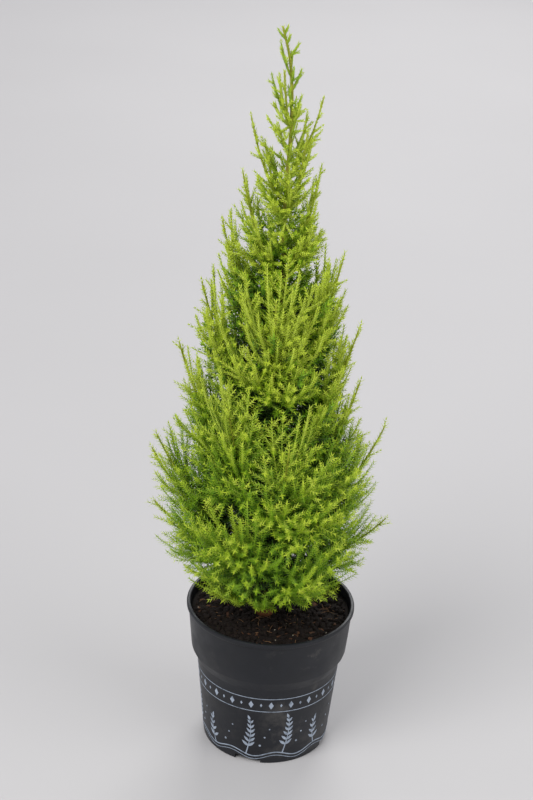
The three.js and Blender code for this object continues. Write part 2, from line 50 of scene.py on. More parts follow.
# Camera, worked out from the pot's rim and foot and the heights of the plant in the photograph
PHOTO_HEIGHT = 800
FOCAL_PIXELS = 1810.15
CAMERA_PLACE = (-0.00926, -1.09312, 0.77396)
CAMERA_DOWN = math.radians(25.09)
CAMERA_ROLL = 0.0449
SENSOR_HEIGHT = 36

# Pot
POT_HEIGHT = 107
RIM_RADIUS = 58.9
BAND_FOOT = (54.8, 73)  # radius and height of the lower edge of the wide band
BODY_TOP = (50.6, 65)
FOOT_RADIUS = 44.4
POT_WALL = 1.5
LIP_DEPTH = 3.4
LIP_PROUD = 1.1
POT_SIDES = 144
NOTCH_COUNT = 4
NOTCH_FIRST = -105
NOTCH_WIDE = 18.5
NOTCH_DEEP = 8
NOTCH_HIGH = 4
DRAIN_RADIUS = 4
DRAIN_RING = 27
DRAIN_COUNT = 8
LIP_FOOT = POT_HEIGHT - LIP_DEPTH
# The wall's outside: height, and what is added there to radius and height, which rounds the edges
POT_OUTSIDE = [
    (0, -0.8, 0), (0, -0.1, 0.4), (0, 0.1, 1.4), (20, 0, 0), (40, 0, 0), (58, 0, 0),
    (BODY_TOP[1], -0.1, -0.7), (BODY_TOP[1], 0.2, 0.3), (BAND_FOOT[1], -0.3, -0.6), (BAND_FOOT[1], 0, 0.6),
    (80, 0, 0), (90, 0, 0), (LIP_FOOT - 0.4, 0, 0), (LIP_FOOT, 0.25, 0),
]
# The lip: what is added to the rim's radius, and the height
POT_LIP = [
    (-0.25, LIP_FOOT + 0.55), (0, LIP_FOOT + 1.1), (0, POT_HEIGHT - 1), (-0.25, POT_HEIGHT - 0.3),
    (-0.8, POT_HEIGHT),
]

# Soil
SOIL_TOP = 98
SOIL_MOUND = 3.2
FLAT_BED = 9  # the level bed's radius round the trunk's foot
BED_RISE = 14  # how much further out the mound is reached
SOIL_RINGS = 46
SOIL_SIDES = 150
ROOT_COUNT = 90
CLEAR = 0.3

# Trunk
TRUNK_KNOTS = [
    (-4, -2, SOIL_TOP + CLEAR),
    (-4, -2, 116),
    (-4, 0, 200),
    (-1, 1, 300),
    (-3, 0, 400),
    (-1.5, 0, 455),
    (-4, -1, 492),
    (-9.5, -2, 514),
]
PLANT_TOP = 514
TRUNK_FOOT_RADIUS = 4.1
TRUNK_TOP_RADIUS = 0.7
FLARE_RADIUS = 2.2
FLARE_HEIGHT = 9
BOUGH_FLARE = 0.35  # how much thicker a bough's foot is
FISSURED = 330  # the trunk's bark grows smoother along this length

# Crown: heights of the tips, and how far they stand from the pot's axis
LEFT_REACH = [
    (104, 8), (113, 20), (120, 34), (130, 52), (140, 64), (150, 73), (165, 81), (184, 84), (221, 84),
    (239, 80), (257, 74), (283, 67), (317, 63), (343, 55), (359, 46), (384, 41), (400, 34), (424, 29),
    (447, 24), (470, 13), (504, 7),
]
RIGHT_REACH = [
    (104, 8), (113, 20), (120, 34), (130, 49), (140, 58), (150, 62), (175, 70), (239, 62), (257, 49),
    (309, 43), (359, 35), (376, 26), (392, 18), (430, 17), (470, 13), (504, 4),
]
# Shoots that outgrow the rest: azimuth in degrees, height of the tip, reach
LONG_SHOOTS = [
    (178, 458, 27), (8, 470, 18), (184, 423, 31), (-2, 428, 19), (176, 388, 43), (-4, 371, 37),
    (180, 347, 55), (-98, 352, 44),
    (-12, 326, 51), (182, 305, 69), (-6, 284, 53), (-84, 262, 66), (2, 248, 72), (184, 239, 83),
    (172, 219, 88), (-112, 196, 74), (-3, 180, 77), (176, 181, 85), (-66, 158, 70), (-140, 132, 54),
    (-30, 134, 52), (-95, 128, 36),
]
SHOOT_COUNT = 31
BOUGH_COUNT = 25
LOWEST_TIP = 120
HIGHEST_TIP = 497
TIP_CROWDING = 1.5
GOLDEN_ANGLE = 137.508
FIRST_AZIMUTH = 62
CLIMB = [(120, 14), (150, 40), (190, 78), (300, 118), (400, 92), (497, 36)]
KNEE_OUT = 0.66
KNEE_UP = 0.3
LOWEST_FOOT = 102
FOOT_SPACING = 3.4
SHOOT_SPACING = 13
NEAR_TRUNK = 14
ASIDE_TURNS = (0, 8, -8, 16, -16, 24, -24, 32, -32)
SHOOT_STEPS = 14
BARE_FOOT = 0.26
BARE_HEEL = 0.1
SHOOT_RADIUS = 0.0125
# Square millimetres of the crown's side to each plume, by height
PLUME_AREAS = [(110, 125), (350, 120), (380, 160), (405, 310), (440, 520)]
PLUME_HEIGHTS = (110, 508)
# Where the plumes' tips lie: the chance of each layer, and its depth as shares of the outline's reach
PLUME_LAYERS = ((0.62, 0.8, 0.99), (0.25, 0.55, 0.8), (0.13, 0.22, 0.55))
# More plumes between these, which the solids leave out
INNER_AREAS = [(112, 420), (126, 190), (170, 200), (300, 240), (350, 420), (380, 1500), (420, 4000)]
INNER_LAYERS = ((1, 0.5, 0.85),)
PLUME_BACK = (26, 46)  # how far down its shoot a plume starts
PLUME_LEAN = 0.45  # more of that where the tip is far to the side
PLUME_START = 0.02  # the least share of a shoot between its bare foot and a plume
SHORTEST_PLUME = 9
PLUME_TURN = 0.65  # how far plumes bend to run beside their shoot
PLUME_UP = [(140, 0.6), (260, 1.2), (400, 1.7)]  # how much they rise beside it, by height
PLUME_SHADE_TONES = (0.12, 0.62)  # from the pot's axis to the crown's outline: painted shade, darker towards the heart of the crown
FINER_REACH = 2.5  # how much further than the solids the plumes reach
OUTLINE_EASE = 2
BACK_SHORT = 5  # the crown reaches less far at the back
BESIDE_SHOOT = 6  # so near its shoot a twig may pass the outline
RIM_MARGIN = 2
SIDE_DROP = 0.35  # how far the way out of the crown's side points down
TRUNK_MARGIN = 1.2
FIT_STEPS = 12  # places of a twig that are looked at
NEAREST_STEPS = 40  # the same, of a shoot

# Short plumes on the trunk itself
TRUNK_PLUMES = 440
TRUNK_PLUME_HEIGHTS = (106, 438)
TRUNK_PLUME_CROWDING = 1.5  # over 1, more of them are low down
TRUNK_PLUME_REACH = (0.45, 0.75)  # shares of the crown's reach
TRUNK_PLUME_LENGTHS = (14, 75)
TRUNK_PLUME_LEANS = (36, 62)  # degrees from upright
TRUNK_PLUME_TURN = 100
TRUNK_PLUME_LOOK = 15  # how far along it the nearest shoot is looked for
TRUNK_PLUME_FREE = 0.3  # the share of it that may be in any shoot's space
SHORTEST_TRUNK_PLUME = 6

# Sprigs and needles
# Outside this depth, the share of the plumes that bear sprigs, by the height of the shoot's tip
BEARING_DEPTH = 0.8
BEARING_SHARES = [
    (150, 0.36), (250, 0.4), (256, 0.75), (264, 0.75), (268, 0.41), (300, 0.42), (400, 0.4), (440, 0.8),
]
# On a feathery plume, and on the close ones near the top that look like cords
PLUME_RADII = (0.42, 0.95)
SPRIG_RADII = (0.28, 0.9)
SPRIG_SPACINGS = (6.5, 5)
SPRIG_SHARES = (0.6, 0.45)  # of what is left of the plume
SPRIG_LENGTHS = ((8, 26), (3, 7))
SPRIG_SPREADS = (42, 46)  # degrees
NEEDLE_SPREADS = (57, 30)  # degrees
NEEDLE_CLOSE = (2.5, 1)  # the end of a twig where needles close up
CORDNESS = [(190, 0), (260, 0.28), (330, 0.55), (400, 0.75), (450, 1)]  # how like cords, by height
CORD_SPACING = 0.75  # shares of what needles have on a feathery plume
CORD_LENGTH = 0.66
CORD_WIDTH = 1.5
PLUME_EASE = 10
SPRIG_EASE = 12
SPRIG_ROUND = 5  # the last of each round stands above or below its plume
BARE_START = 0.1  # of a plume's length, before its first sprig
BARE_END = 4.5  # of a plume, past its last sprig
SHORTEST_SPRIG = 3
# From the heart of the crown, where needles are few and wide, to its outside
HEART_DEPTHS = (0.4, 0.75)
THIN_HEIGHTS = (260, 400)  # between these the crown thins to all outside
NEEDLE_SPACINGS = (2.4, 1.3)
NEEDLE_LENGTHS = (4.6, 3.15)
NEEDLE_WIDTHS = (1.5, 0.74)
NEEDLE_THICK = 0.3
NEEDLES_AROUND = 2
NEEDLE_PIECES = 5

# How much lighter needles are: by height, as painted light that grows towards the crown's thin top; by
# depth in the crown, as painted shade inside it; and near the ends of twigs by height
PAINTED_LIGHTNESS = [(120, -0.05), (220, 0.02), (270, 0.12), (310, 0.26), (360, 0.42), (450, 0.5)]
PAINTED_SHADES = [(0.4, -0.32), (0.7, -0.17), (0.88, -0.02), (1.0, 0.08)]
FRESHNESS = [(130, 0.08), (230, 0.2)]
FRESH_END = 6  # how near the end

# Where the draws of each kind of twig start
AXIS_KEYS = 9000
LEADER_KEYS = 20000
TOP_KEYS = 30000
TRUNK_KEYS = 40000

SEED = 7


def between(low, high, share):
    return low + (high - low) * share


def chance(*keys):
    """A number from 0 to 1 that depends only on its keys, which may be arrays."""
    total = 4.1414
    for i, key in enumerate(keys):
        total = total + key * (12.9898 + 65.2431 * i)
    mixed = np.sin(total) * 43758.5453
    return mixed - np.floor(mixed)


def jitter(size, *keys):
    return between(-size, size, chance(*keys))


def along(profile, height):
    heights, values = zip(*profile)
    return np.interp(height, heights, values)


def unit(vectors):
    return vectors / np.linalg.norm(vectors, axis=-1, keepdims=True)


# Lines


class Line:
    """A curve that is read by the share of its length."""

    def __init__(self, place_at):
        self.place_at = place_at
        self.marks = np.linspace(0, 1, 201)
        steps = np.linalg.norm(np.diff(place_at(self.marks), axis=0), axis=1)
        self.lengths = np.concatenate([[0], np.cumsum(steps)])
        self.length = self.lengths[-1]

    def mark(self, share):
        return np.interp(np.atleast_1d(share) * self.length, self.lengths, self.marks)

    def at(self, share):
        return self.place_at(self.mark(share))

    def way(self, share):
        mark = self.mark(share)
        ahead = self.place_at(np.minimum(mark + 1e-4, 1))
        return unit(ahead - self.place_at(np.maximum(mark - 1e-4, 0)))


def through(knots):
    """A smooth line through the knots, by centripetal Catmull-Rom."""
    knots = np.array(knots, float)
    knots = np.vstack([2 * knots[0] - knots[1], knots, 2 * knots[-1] - knots[-2]])
    spans = len(knots) - 3

    def place_at(mark):
        mark = np.atleast_1d(mark) * spans
        i = np.minimum(mark.astype(int), spans - 1)
        w = (mark - i)[:, None]
        a, b, c, d = (knots[i + k] for k in range(4))
        past, here, next_ = (
            np.sum((q - p) ** 2, axis=1, keepdims=True) ** 0.25 for p, q in ((a, b), (b, c), (c, d))
        )
        leave = here * ((b - a) / past - (c - a) / (past + here) + (c - b) / here)
        arrive = here * ((c - b) / here - (d - b) / (here + next_) + (d - c) / next_)
        return (
            b
            + leave * w
            + (3 * (c - b) - 2 * leave - arrive) * w**2
            + (2 * (b - c) + leave + arrive) * w**3
        )

    return place_at


def elbow(foot, knee, tip):
    """A quadratic curve from foot to tip, drawn towards the knee."""

    def place_at(mark):
        w = np.atleast_1d(mark)[:, None]
        return foot + 2 * w * (knee - foot) + w**2 * (tip - 2 * knee + foot)

    return place_at


trunk_line = Line(through(TRUNK_KNOTS))
trunk_places = trunk_line.place_at(np.linspace(0, 1, 201))


def trunk_at(height):
    return np.stack([np.interp(height, trunk_places[:, 2], trunk_places[:, k]) for k in range(3)], -1)


def trunk_radius(height):
    share = np.clip((height - SOIL_TOP) / (PLANT_TOP - SOIL_TOP), 0, 1)
    flare = FLARE_RADIUS * np.exp(-(height - SOIL_TOP) / FLARE_HEIGHT)
    return between(TRUNK_FOOT_RADIUS, TRUNK_TOP_RADIUS, share**0.8) + flare


def trunk_distance(places):
    return np.linalg.norm((places - trunk_at(places[..., 2]))[..., :2], axis=-1)


# The growth rule


class Shoot:
    def __init__(self, index, line, ends, gap):
        self.index = index
        self.line = line
        self.ends = ends
        self.gap = gap
        self.length = line.length
        self.places = line.at(np.linspace(0, 1, SHOOT_STEPS + 1))
        self.has_bough = index < BOUGH_COUNT
        self.start = BARE_FOOT if self.has_bough else BARE_HEEL

    def radius(self, share):
        return np.maximum(0.55, self.length * SHOOT_RADIUS * (1 - 0.85 * share))


def tip_place(tip):
    turn = math.radians(tip["azimuth"])
    return np.array([tip["reach"] * math.cos(turn), tip["reach"] * math.sin(turn), tip["height"]])


def outline_at(places):
    """How far the crown reaches from the pot's axis at the height of each place, on its side."""
    rightward = (1 + places[..., 0] / np.maximum(1, np.hypot(places[..., 0], places[..., 1]))) / 2
    return between(along(LEFT_REACH, places[..., 2]), along(RIGHT_REACH, places[..., 2]), rightward)


def tips_of_shoots():
    """The tips climb the crown in a spiral, and the nearest one to each long shoot moves to its place."""
    tips = []
    for k in range(SHOOT_COUNT):
        height = between(LOWEST_TIP, HIGHEST_TIP, ((k + 0.5) / SHOOT_COUNT) ** TIP_CROWDING)
        azimuth = FIRST_AZIMUTH + GOLDEN_ANGLE * k + jitter(9, k, 1)
        tip = {"azimuth": azimuth, "height": height, "reach": 1, "long": False}
        tip["reach"] = outline_at(tip_place(tip)) * between(0.9, 1, chance(k, 2))
        tips.append(tip)
    for azimuth, height, reach in LONG_SHOOTS:
        wanted = {"azimuth": azimuth, "height": height, "reach": reach, "long": True}
        free = [tip for tip in tips if not tip["long"]]
        nearest = min(free, key=lambda tip: np.linalg.norm(tip_place(tip) - tip_place(wanted)))
        nearest.update(wanted)
    return sorted(tips, key=lambda tip: tip["height"])


def distance_to_line(places, line):
    """From each place to the nearest point of a line through a few points."""
    starts, steps = line[:-1], np.diff(line, axis=0)
    apart = places[:, None, :] - starts
    shares = np.clip(np.sum(apart * steps, axis=2) / np.sum(steps**2, axis=1), 0, 1)
    return np.linalg.norm(apart - shares[:, :, None] * steps, axis=2).min(axis=1)


def shoot_to(tip, foot_height, aside):
    top = tip_place({**tip, "azimuth": tip["azimuth"] + aside})
    foot = trunk_at(foot_height)
    knee = foot + (top - foot) * (KNEE_OUT, KNEE_OUT, KNEE_UP)
    return foot, knee, top


def grow_shoots():
    """From the lowest up. A shoot that would crowd another turns aside, unless it is a long one."""
    grown = []
    foot_height = LOWEST_FOOT
    for index, tip in enumerate(tips_of_shoots()):
        foot_height = max(foot_height + FOOT_SPACING, tip["height"] - along(CLIMB, tip["height"]))
        best = None
        for aside in (0,) if tip["long"] else ASIDE_TURNS:
            ends = shoot_to(tip, foot_height, aside)
            line = Line(elbow(*ends))
            places = line.at(np.linspace(0, 1, SHOOT_STEPS + 1))
            free = places[trunk_distance(places) >= NEAR_TRUNK]
            gaps = [distance_to_line(free, other.places).min() for other in grown if len(free)]
            gap = min([SHOOT_SPACING, *gaps])
            if best is None or gap > best.gap + 0.01:
                best = Shoot(index, line, ends, gap)
        grown.append(best)
    return grown


shoots = grow_shoots()


def in_space(places, own, margin):
    """True where a place is nearer to its own shoot than to any other, in the crown's outline, and clear
    of trunk and soil."""
    if own == SHOOT_COUNT:
        return places[:, 2] < PLANT_TOP + 2
    rooms = np.min([distance_to_line(places, s.places) for s in shoots if s.index != own], axis=0)
    from_axis = np.hypot(places[:, 0], places[:, 1])
    floor = np.where(from_axis > RIM_RADIUS - 8, POT_HEIGHT, SOIL_TOP + SOIL_MOUND) + RIM_MARGIN
    to_own = distance_to_line(places, shoots[own].places)
    reach = outline_at(places) + OUTLINE_EASE - BACK_SHORT * np.clip(places[:, 1] / from_axis, 0, 1)
    return (
        (places[:, 2] >= floor)
        & ((from_axis <= reach) | (to_own < BESIDE_SHOOT))
        & (places[:, 2] <= PLANT_TOP + 2)
        & (trunk_distance(places) >= trunk_radius(places[:, 2]) + TRUNK_MARGIN)
        & (to_own + margin < rooms)
    )


class Rods:
    """Many twigs at once: each runs from foot by reach and bend, as foot + reach * s + bend * s * s."""

    FIELDS = ("foot", "reach", "bend", "radius", "tone", "cord", "key", "owner", "bears")

    def __init__(self, **fields):
        self.count = len(fields["foot"])
        for name in self.FIELDS:
            wide = (self.count, 3) if name in ("foot", "reach", "bend") else self.count
            setattr(self, name, np.broadcast_to(np.asarray(fields[name], float), wide).copy())

    @property
    def length(self):
        return np.linalg.norm(self.reach + self.bend / 2, axis=1)

    def at(self, i, share):
        s = share[..., None]
        return self.foot[i] + self.reach[i] * s + self.bend[i] * s**2

    def way(self, i, share):
        return unit(self.reach[i] + 2 * self.bend[i] * share[..., None])

    def shorter(self, share):
        """The same twigs, each cut at its share."""
        fields = {name: getattr(self, name) for name in self.FIELDS}
        fields["reach"] = self.reach * share[:, None]
        fields["bend"] = self.bend * share[:, None] ** 2
        return Rods(**fields)

    def only(self, kept):
        return Rods(**{name: getattr(self, name)[kept] for name in self.FIELDS})


def joined(rods):
    return Rods(**{name: np.concatenate([getattr(r, name) for r in rods]) for name in Rods.FIELDS})


def across(ways, places):
    """Two directions square to each way: one along the crown's side, and one out of it."""
    from_axis = np.hypot(places[..., 0], places[..., 1])
    out = np.stack([places[..., 0], places[..., 1], -SIDE_DROP * from_axis - 0.1], -1)
    level = np.cross(ways, unit(out))
    steep = np.linalg.norm(level, axis=-1) < 1e-3
    level[steep] = np.cross(ways[steep], (0.0, 1.0, 0.0))
    level = unit(level)
    return level, np.cross(level, ways)


def around(level, over, turn):
    return level * np.cos(turn)[:, None] + over * np.sin(turn)[:, None]


def flat_way(turn):
    return np.stack([np.cos(turn), np.sin(turn), np.zeros(len(turn))], 1)


def numbered(counts):
    """For so many things on each rod: the rod of each thing, and its number on that rod."""
    i = np.repeat(np.arange(len(counts)), counts)
    return i, np.arange(len(i)) - np.repeat(np.cumsum(counts) - counts, counts)


def depth_of(places):
    """How far out a place lies: 1 on the crown's outline, and in all of its thin top."""
    depth = np.hypot(places[:, 0], places[:, 1]) / outline_at(places)
    low, high = THIN_HEIGHTS
    return np.maximum(depth, np.clip((places[:, 2] - low) / (high - low), 0, 1))


def plume_tips(areas, layers):
    """Tips spread evenly over the crown's side in a rising spiral, each at the depth of its layer."""
    tips, depths = [], []
    height = PLUME_HEIGHTS[0]
    while height < PLUME_HEIGHTS[1]:
        k = len(tips)
        turn = math.radians(GOLDEN_ANGLE * k)
        out = np.array([math.cos(turn), math.sin(turn), 0])
        outline = outline_at(out + UP * height)
        chosen, low, high = float(chance(k, 21)), 0, 0
        for share, low, high in layers:
            if chosen < share:
                break
            chosen -= share
        depth = between(low, high, chance(k, 22))
        depths.append(depth)
        reach = (outline - BACK_SHORT * max(0, out[1])) * depth + FINER_REACH
        tips.append(out * reach + UP * (height + jitter(2, k, 23)))
        height += along(areas, height) / (2 * math.pi * outline)
    return np.array(tips), np.array(depths)


def bearing(shoot, depths):
    """True for the plumes that bear sprigs: all in the heart of the crown, and a share of the rest."""
    rank = np.cumsum(depths >= BEARING_DEPTH)
    share = along(BEARING_SHARES, shoot.ends[2][2])
    return (depths < BEARING_DEPTH) | (np.floor(rank * share) > np.floor((rank - 1) * share))


def nearest_share(places, shoot):
    """For each place, the share of the shoot's length where it passes nearest."""
    shares = np.linspace(0, 1, NEAREST_STEPS + 1)
    apart = np.linalg.norm(places[:, None] - shoot.line.at(shares)[None], axis=2)
    return shares[np.argmin(apart, axis=1)], apart.min(axis=1)


def plumes_of(shoot, tips, keys, bears):
    """A plume to each tip that is nearest to this shoot. It leaves the shoot lower down."""
    share, aside = nearest_share(tips, shoot)
    back = between(*PLUME_BACK, chance(keys, 5)) + PLUME_LEAN * aside
    share_root = np.maximum(shoot.start + PLUME_START, share - back / shoot.length)
    root = shoot.line.at(share_root)
    chord = tips - root
    length = np.linalg.norm(chord, axis=1, keepdims=True)
    beside = unit(shoot.line.way(share) + UP * along(PLUME_UP, tips[:, 2])[:, None])
    bend = (beside * length - chord) * PLUME_TURN
    depth = np.hypot(tips[:, 0], tips[:, 1]) / np.maximum(1, outline_at(tips))
    cord = along(CORDNESS, tips[:, 2])
    plumes = Rods(
        foot=root, reach=chord - bend, bend=bend, radius=between(*PLUME_RADII, cord),
        tone=between(*PLUME_SHADE_TONES, depth) + along(PAINTED_LIGHTNESS, tips[:, 2]), cord=cord, key=keys,
        owner=shoot.index, bears=bears,
    )
    return fitted(plumes, shoot.index, SHORTEST_PLUME, ease=PLUME_EASE)


def trunk_plumes():
    """Short plumes that stand on the trunk itself, each in the space of the shoot that is nearest to it."""
    k = np.arange(TRUNK_PLUMES)
    rise = ((k + 0.5) / TRUNK_PLUMES) ** TRUNK_PLUME_CROWDING
    foot = trunk_at(between(*TRUNK_PLUME_HEIGHTS, rise))
    out = flat_way(np.radians(GOLDEN_ANGLE * k + TRUNK_PLUME_TURN))
    lean = np.radians(between(*TRUNK_PLUME_LEANS, chance(k, 71)))
    reach = outline_at(foot + out) * between(*TRUNK_PLUME_REACH, chance(k, 72))
    length = np.clip(reach / np.sin(lean), *TRUNK_PLUME_LENGTHS)
    way = around(UP, out, lean)
    look = foot + way * TRUNK_PLUME_LOOK
    owner = np.argmin([distance_to_line(look, s.places) for s in shoots], axis=0)
    plumes = Rods(
        foot=foot, reach=way * length[:, None], bend=UP * (0.15 * length)[:, None], radius=PLUME_RADII[0],
        tone=0.2 + along(PAINTED_LIGHTNESS, foot[:, 2]), cord=along(CORDNESS, foot[:, 2]), key=TRUNK_KEYS + k,
        owner=owner, bears=1,
    )
    return [
        fitted(plumes.only(owner == own), own, SHORTEST_TRUNK_PLUME, TRUNK_PLUME_FREE)
        for own in sorted(set(owner))
    ]


def fitted(rods, own, shortest, free=0.0, ease=1.0):
    """Each twig is cut where it first leaves its shoot's space, and dropped where too little is left.
    Its first stretch, up to the share free, isn't looked at."""
    shares = np.maximum(free, np.arange(1, FIT_STEPS + 1) / FIT_STEPS)
    every = np.repeat(np.arange(rods.count), FIT_STEPS)
    places = rods.at(every, np.tile(shares, rods.count))
    inside = in_space(places, own, -ease).reshape(-1, FIT_STEPS)
    reached = np.where(inside.all(axis=1), FIT_STEPS, np.argmin(inside, axis=1)) / FIT_STEPS
    kept = reached * rods.length >= shortest
    return rods.shorter(np.maximum(reached, 0.01)).only(kept)


def sprigs_of(plumes, own):
    """Sprigs stand left and right of a plume by turns, a few of them above and below it."""
    length, spacing = plumes.length, between(*SPRIG_SPACINGS, plumes.cord)
    counts = np.maximum(0, ((length - BARE_END) / spacing * plumes.bears).astype(int))
    i, k = numbered(counts)
    key, cord, length = plumes.key[i], plumes.cord[i], length[i]
    start = BARE_START * length
    place = start + (length - BARE_END - start) * (k + chance(key, k, 1)) / counts[i]
    share = place / length
    ahead = plumes.way(i, share)
    level, over = across(ahead, plumes.at(i, share))
    aside = np.where(k % SPRIG_ROUND == SPRIG_ROUND - 1, 90, 180 * (k % 2)) + jitter(26, key, k, 2)
    out = around(level, over, np.radians(aside))
    spread = between(*SPRIG_SPREADS, cord) + jitter(8, key, k, 3)
    way = unit(around(ahead, out, np.radians(spread)))
    size = between(*SPRIG_SHARES, cord) * (length - place) * between(0.75, 1.2, chance(key, k, 4))
    low, high = (between(*ends, cord) for ends in zip(*SPRIG_LENGTHS))
    size = np.clip(size + 1.5, low, high)[:, None]
    # Sprigs near a plume's foot are darker and those near its end lighter: painted shade inside the crown
    # and painted light at its outside
    sprigs = Rods(
        foot=plumes.at(i, share), reach=way * size, bend=ahead * (0.12 * size) + UP * (0.05 * size),
        radius=between(*SPRIG_RADII, cord), tone=plumes.tone[i] + between(-0.15, 0.2, share), cord=cord,
        key=key * 31 + k + 0.5, owner=own, bears=0,
    )
    return fitted(sprigs, own, SHORTEST_SPRIG, ease=SPRIG_EASE)


def axis_of(shoot):
    """The leafy stretch of the shoot itself, as one twig."""
    foot, knee, tip = shoot.ends
    first = float(shoot.line.mark(shoot.start)[0])
    slope, curl = 2 * (knee - foot), tip - 2 * knee + foot
    span = 1 - first
    return Rods(
        foot=[foot + slope * first + curl * first**2], reach=[(slope + 2 * curl * first) * span],
        bend=[curl * span**2], radius=shoot.radius(shoot.start), tone=0.65 + along(PAINTED_LIGHTNESS, tip[2]),
        cord=along(CORDNESS, tip[2]), key=AXIS_KEYS + shoot.index, owner=shoot.index, bears=1,
    )


# The leader's side twigs: height of the foot, azimuth, length, lean from upright in degrees
LEADER_FROM = 440
LEADER_TWIGS = [
    (443, -70, 22, 26), (446, 75, 20, 28), (451, 178, 31, 26), (456, -20, 15, 24), (461, -105, 15, 26),
    (466, 100, 14, 26), (474, 0, 13, 25), (478, -80, 11, 26), (482, 180, 21, 21), (488, 85, 9, 26),
    (495, 5, 9.5, 37), (503, -60, 7, 32), (506, 185, 7, 45), (509, 30, 5, 30),
]


def leader_twigs():
    """Short close twigs on the top of the trunk, which runs on through them to the tip."""
    height, azimuth, length, lean = np.array(LEADER_TWIGS, float).T
    out = flat_way(np.radians(azimuth))
    way = around(UP, out, np.radians(lean))
    return Rods(
        foot=trunk_at(height), reach=(way + out * 0.15) * length[:, None],
        bend=(UP - out) * (0.15 * length)[:, None], radius=0.9, tone=between(0.45, 0.7, chance(height, 64)),
        cord=1, key=LEADER_KEYS + height, owner=SHOOT_COUNT, bears=1,
    )


def top_of_trunk():
    """What bears the trunk's own needles at the top, thicker towards the tip."""
    knots = trunk_at(np.linspace(LEADER_FROM, PLANT_TOP, 9))
    return Rods(
        foot=knots[:-1], reach=np.diff(knots, axis=0), bend=0 * UP, tone=0.6, bears=0, owner=SHOOT_COUNT,
        radius=(0.8, 0.8, 0.8, 0.8, 0.8, 1, 1.4, 1.5), cord=(1, 1, 1, 1, 1, 1, 0.8, 0.7),
        key=TOP_KEYS + np.arange(8),
    )


# Meshes


def tinted(code):
    """A colour as #rrggbb to linear values."""
    values = [int(code[i : i + 2], 16) / 255 for i in (1, 3, 5)]
    return [v / 12.92 if v <= 0.04045 else ((v + 0.055) / 1.055) ** 2.4 for v in values]


def piece(name, corners, faces, materials, tones=None, smooth=False):
    """A mesh object from corners in millimetres and triangles, or faces of any kind as a list."""
    mesh = bpy.data.meshes.new(name)
    if isinstance(faces, np.ndarray):
        mesh.vertices.add(len(corners))
        mesh.vertices.foreach_set("co", (np.asarray(corners, np.float32) * MM).ravel())
        mesh.loops.add(faces.size)
        mesh.loops.foreach_set("vertex_index", faces.astype(np.int32).ravel())
        mesh.polygons.add(len(faces))
        mesh.polygons.foreach_set("loop_start", np.arange(0, faces.size, faces.shape[1], dtype=np.int32))
        mesh.update(calc_edges=True)
    else:
        mesh.from_pydata([tuple(c) for c in np.asarray(corners) * MM], [], faces)
    for material in materials:
        mesh.materials.append(material)
    if tones is not None:
        mesh.polygons.foreach_set("material_index", np.asarray(tones, np.int32))
    mesh.polygons.foreach_set("use_smooth", np.full(len(mesh.polygons), smooth))
    mesh.validate()
    made = bpy.data.objects.new(name, mesh)
    bpy.context.scene.collection.objects.link(made)
    return made


def repeated(faces, corner_count, times):
    """The same faces for each of so many bodies with so many corners."""
    return (np.array(faces) + corner_count * np.arange(times)[:, None, None]).reshape(-1, 3)


def ring_faces(sides, rings):
    """Triangles between rings of corners."""
    faces = []
    for low in range(0, (rings - 1) * sides, sides):
        high = low + sides
        for a in range(sides):
            b = (a + 1) % sides
            faces += [(low + a, low + b, high + b), (low + a, high + b, high + a)]
    return faces


def needle_mesh(rods):
    """Every needle of the twigs: corners, triangles, and the tone and the owner of each triangle."""
    length = rods.length
    middle = rods.at(np.arange(rods.count), np.full(rods.count, 0.6))
    outer = np.clip((depth_of(middle) - HEART_DEPTHS[0]) / np.ptp(HEART_DEPTHS), 0, 1)
    spacing = between(*NEEDLE_SPACINGS, outer) * between(1, CORD_SPACING, rods.cord)
    counts = np.maximum(2, (length / spacing).astype(int))
    i, k = numbered(counts * NEEDLES_AROUND)
    node, hand = k // NEEDLES_AROUND, k % NEEDLES_AROUND
    key, cord, outer = rods.key[i], rods.cord[i], outer[i]
    share = (node + 0.35 + 0.3 * chance(key, node, 11)) / counts[i]
    ahead = rods.way(i, share)
    level, over = across(ahead, rods.at(i, share))
    out = around(level, over, np.radians(hand * 180 + node % 2 * 90 + jitter(10, key, k, 12)))
    to_end = (1 - share) * length[i]
    opened = np.clip(to_end / between(*NEEDLE_CLOSE, cord), 0, 1)
    spread = between(*NEEDLE_SPREADS, cord) * between(0.6, 1, opened) + jitter(5, key, k, 13)
    way = unit(around(ahead, out, np.radians(spread)))
    size = between(*NEEDLE_LENGTHS, outer) * between(0.75, 1, opened)
    size = size * between(0.85, 1.15, chance(key, k, 14)) * between(1, CORD_LENGTH, cord)
    wide = between(*NEEDLE_WIDTHS, outer) * between(0.9, 1.1, chance(key, k, 15))
    wide = wide * between(1, CORD_WIDTH, cord)
    side = unit(np.cross(ahead, out))
    half = side * (wide / 2)[:, None]
    base = rods.at(i, share) + out * (0.5 * rods.radius[i])[:, None]
    tip = base + way * size[:, None] + ahead * (0.08 * size)[:, None]
    back = base + np.cross(way, side) * NEEDLE_THICK
    corners = np.stack([base + half, back, base - half, tip], axis=1)
    triangles = repeated([(0, 1, 3), (1, 2, 3), (2, 0, 3), (0, 2, 1)], 4, len(i))
    # Painted shade darkens the needles deep in the crown; the rods' tones already hold painted light by
    # height
    tone = rods.tone[i] + along(PAINTED_SHADES, depth_of(base))
    fresh = between(along(FRESHNESS, base[:, 2]), 0, np.clip(to_end / FRESH_END, 0, 1))
    tone += fresh + jitter(0.1, key, 16)
    return corners.reshape(-1, 3), triangles, np.repeat(tone, 4), np.repeat(rods.owner[i], 4)


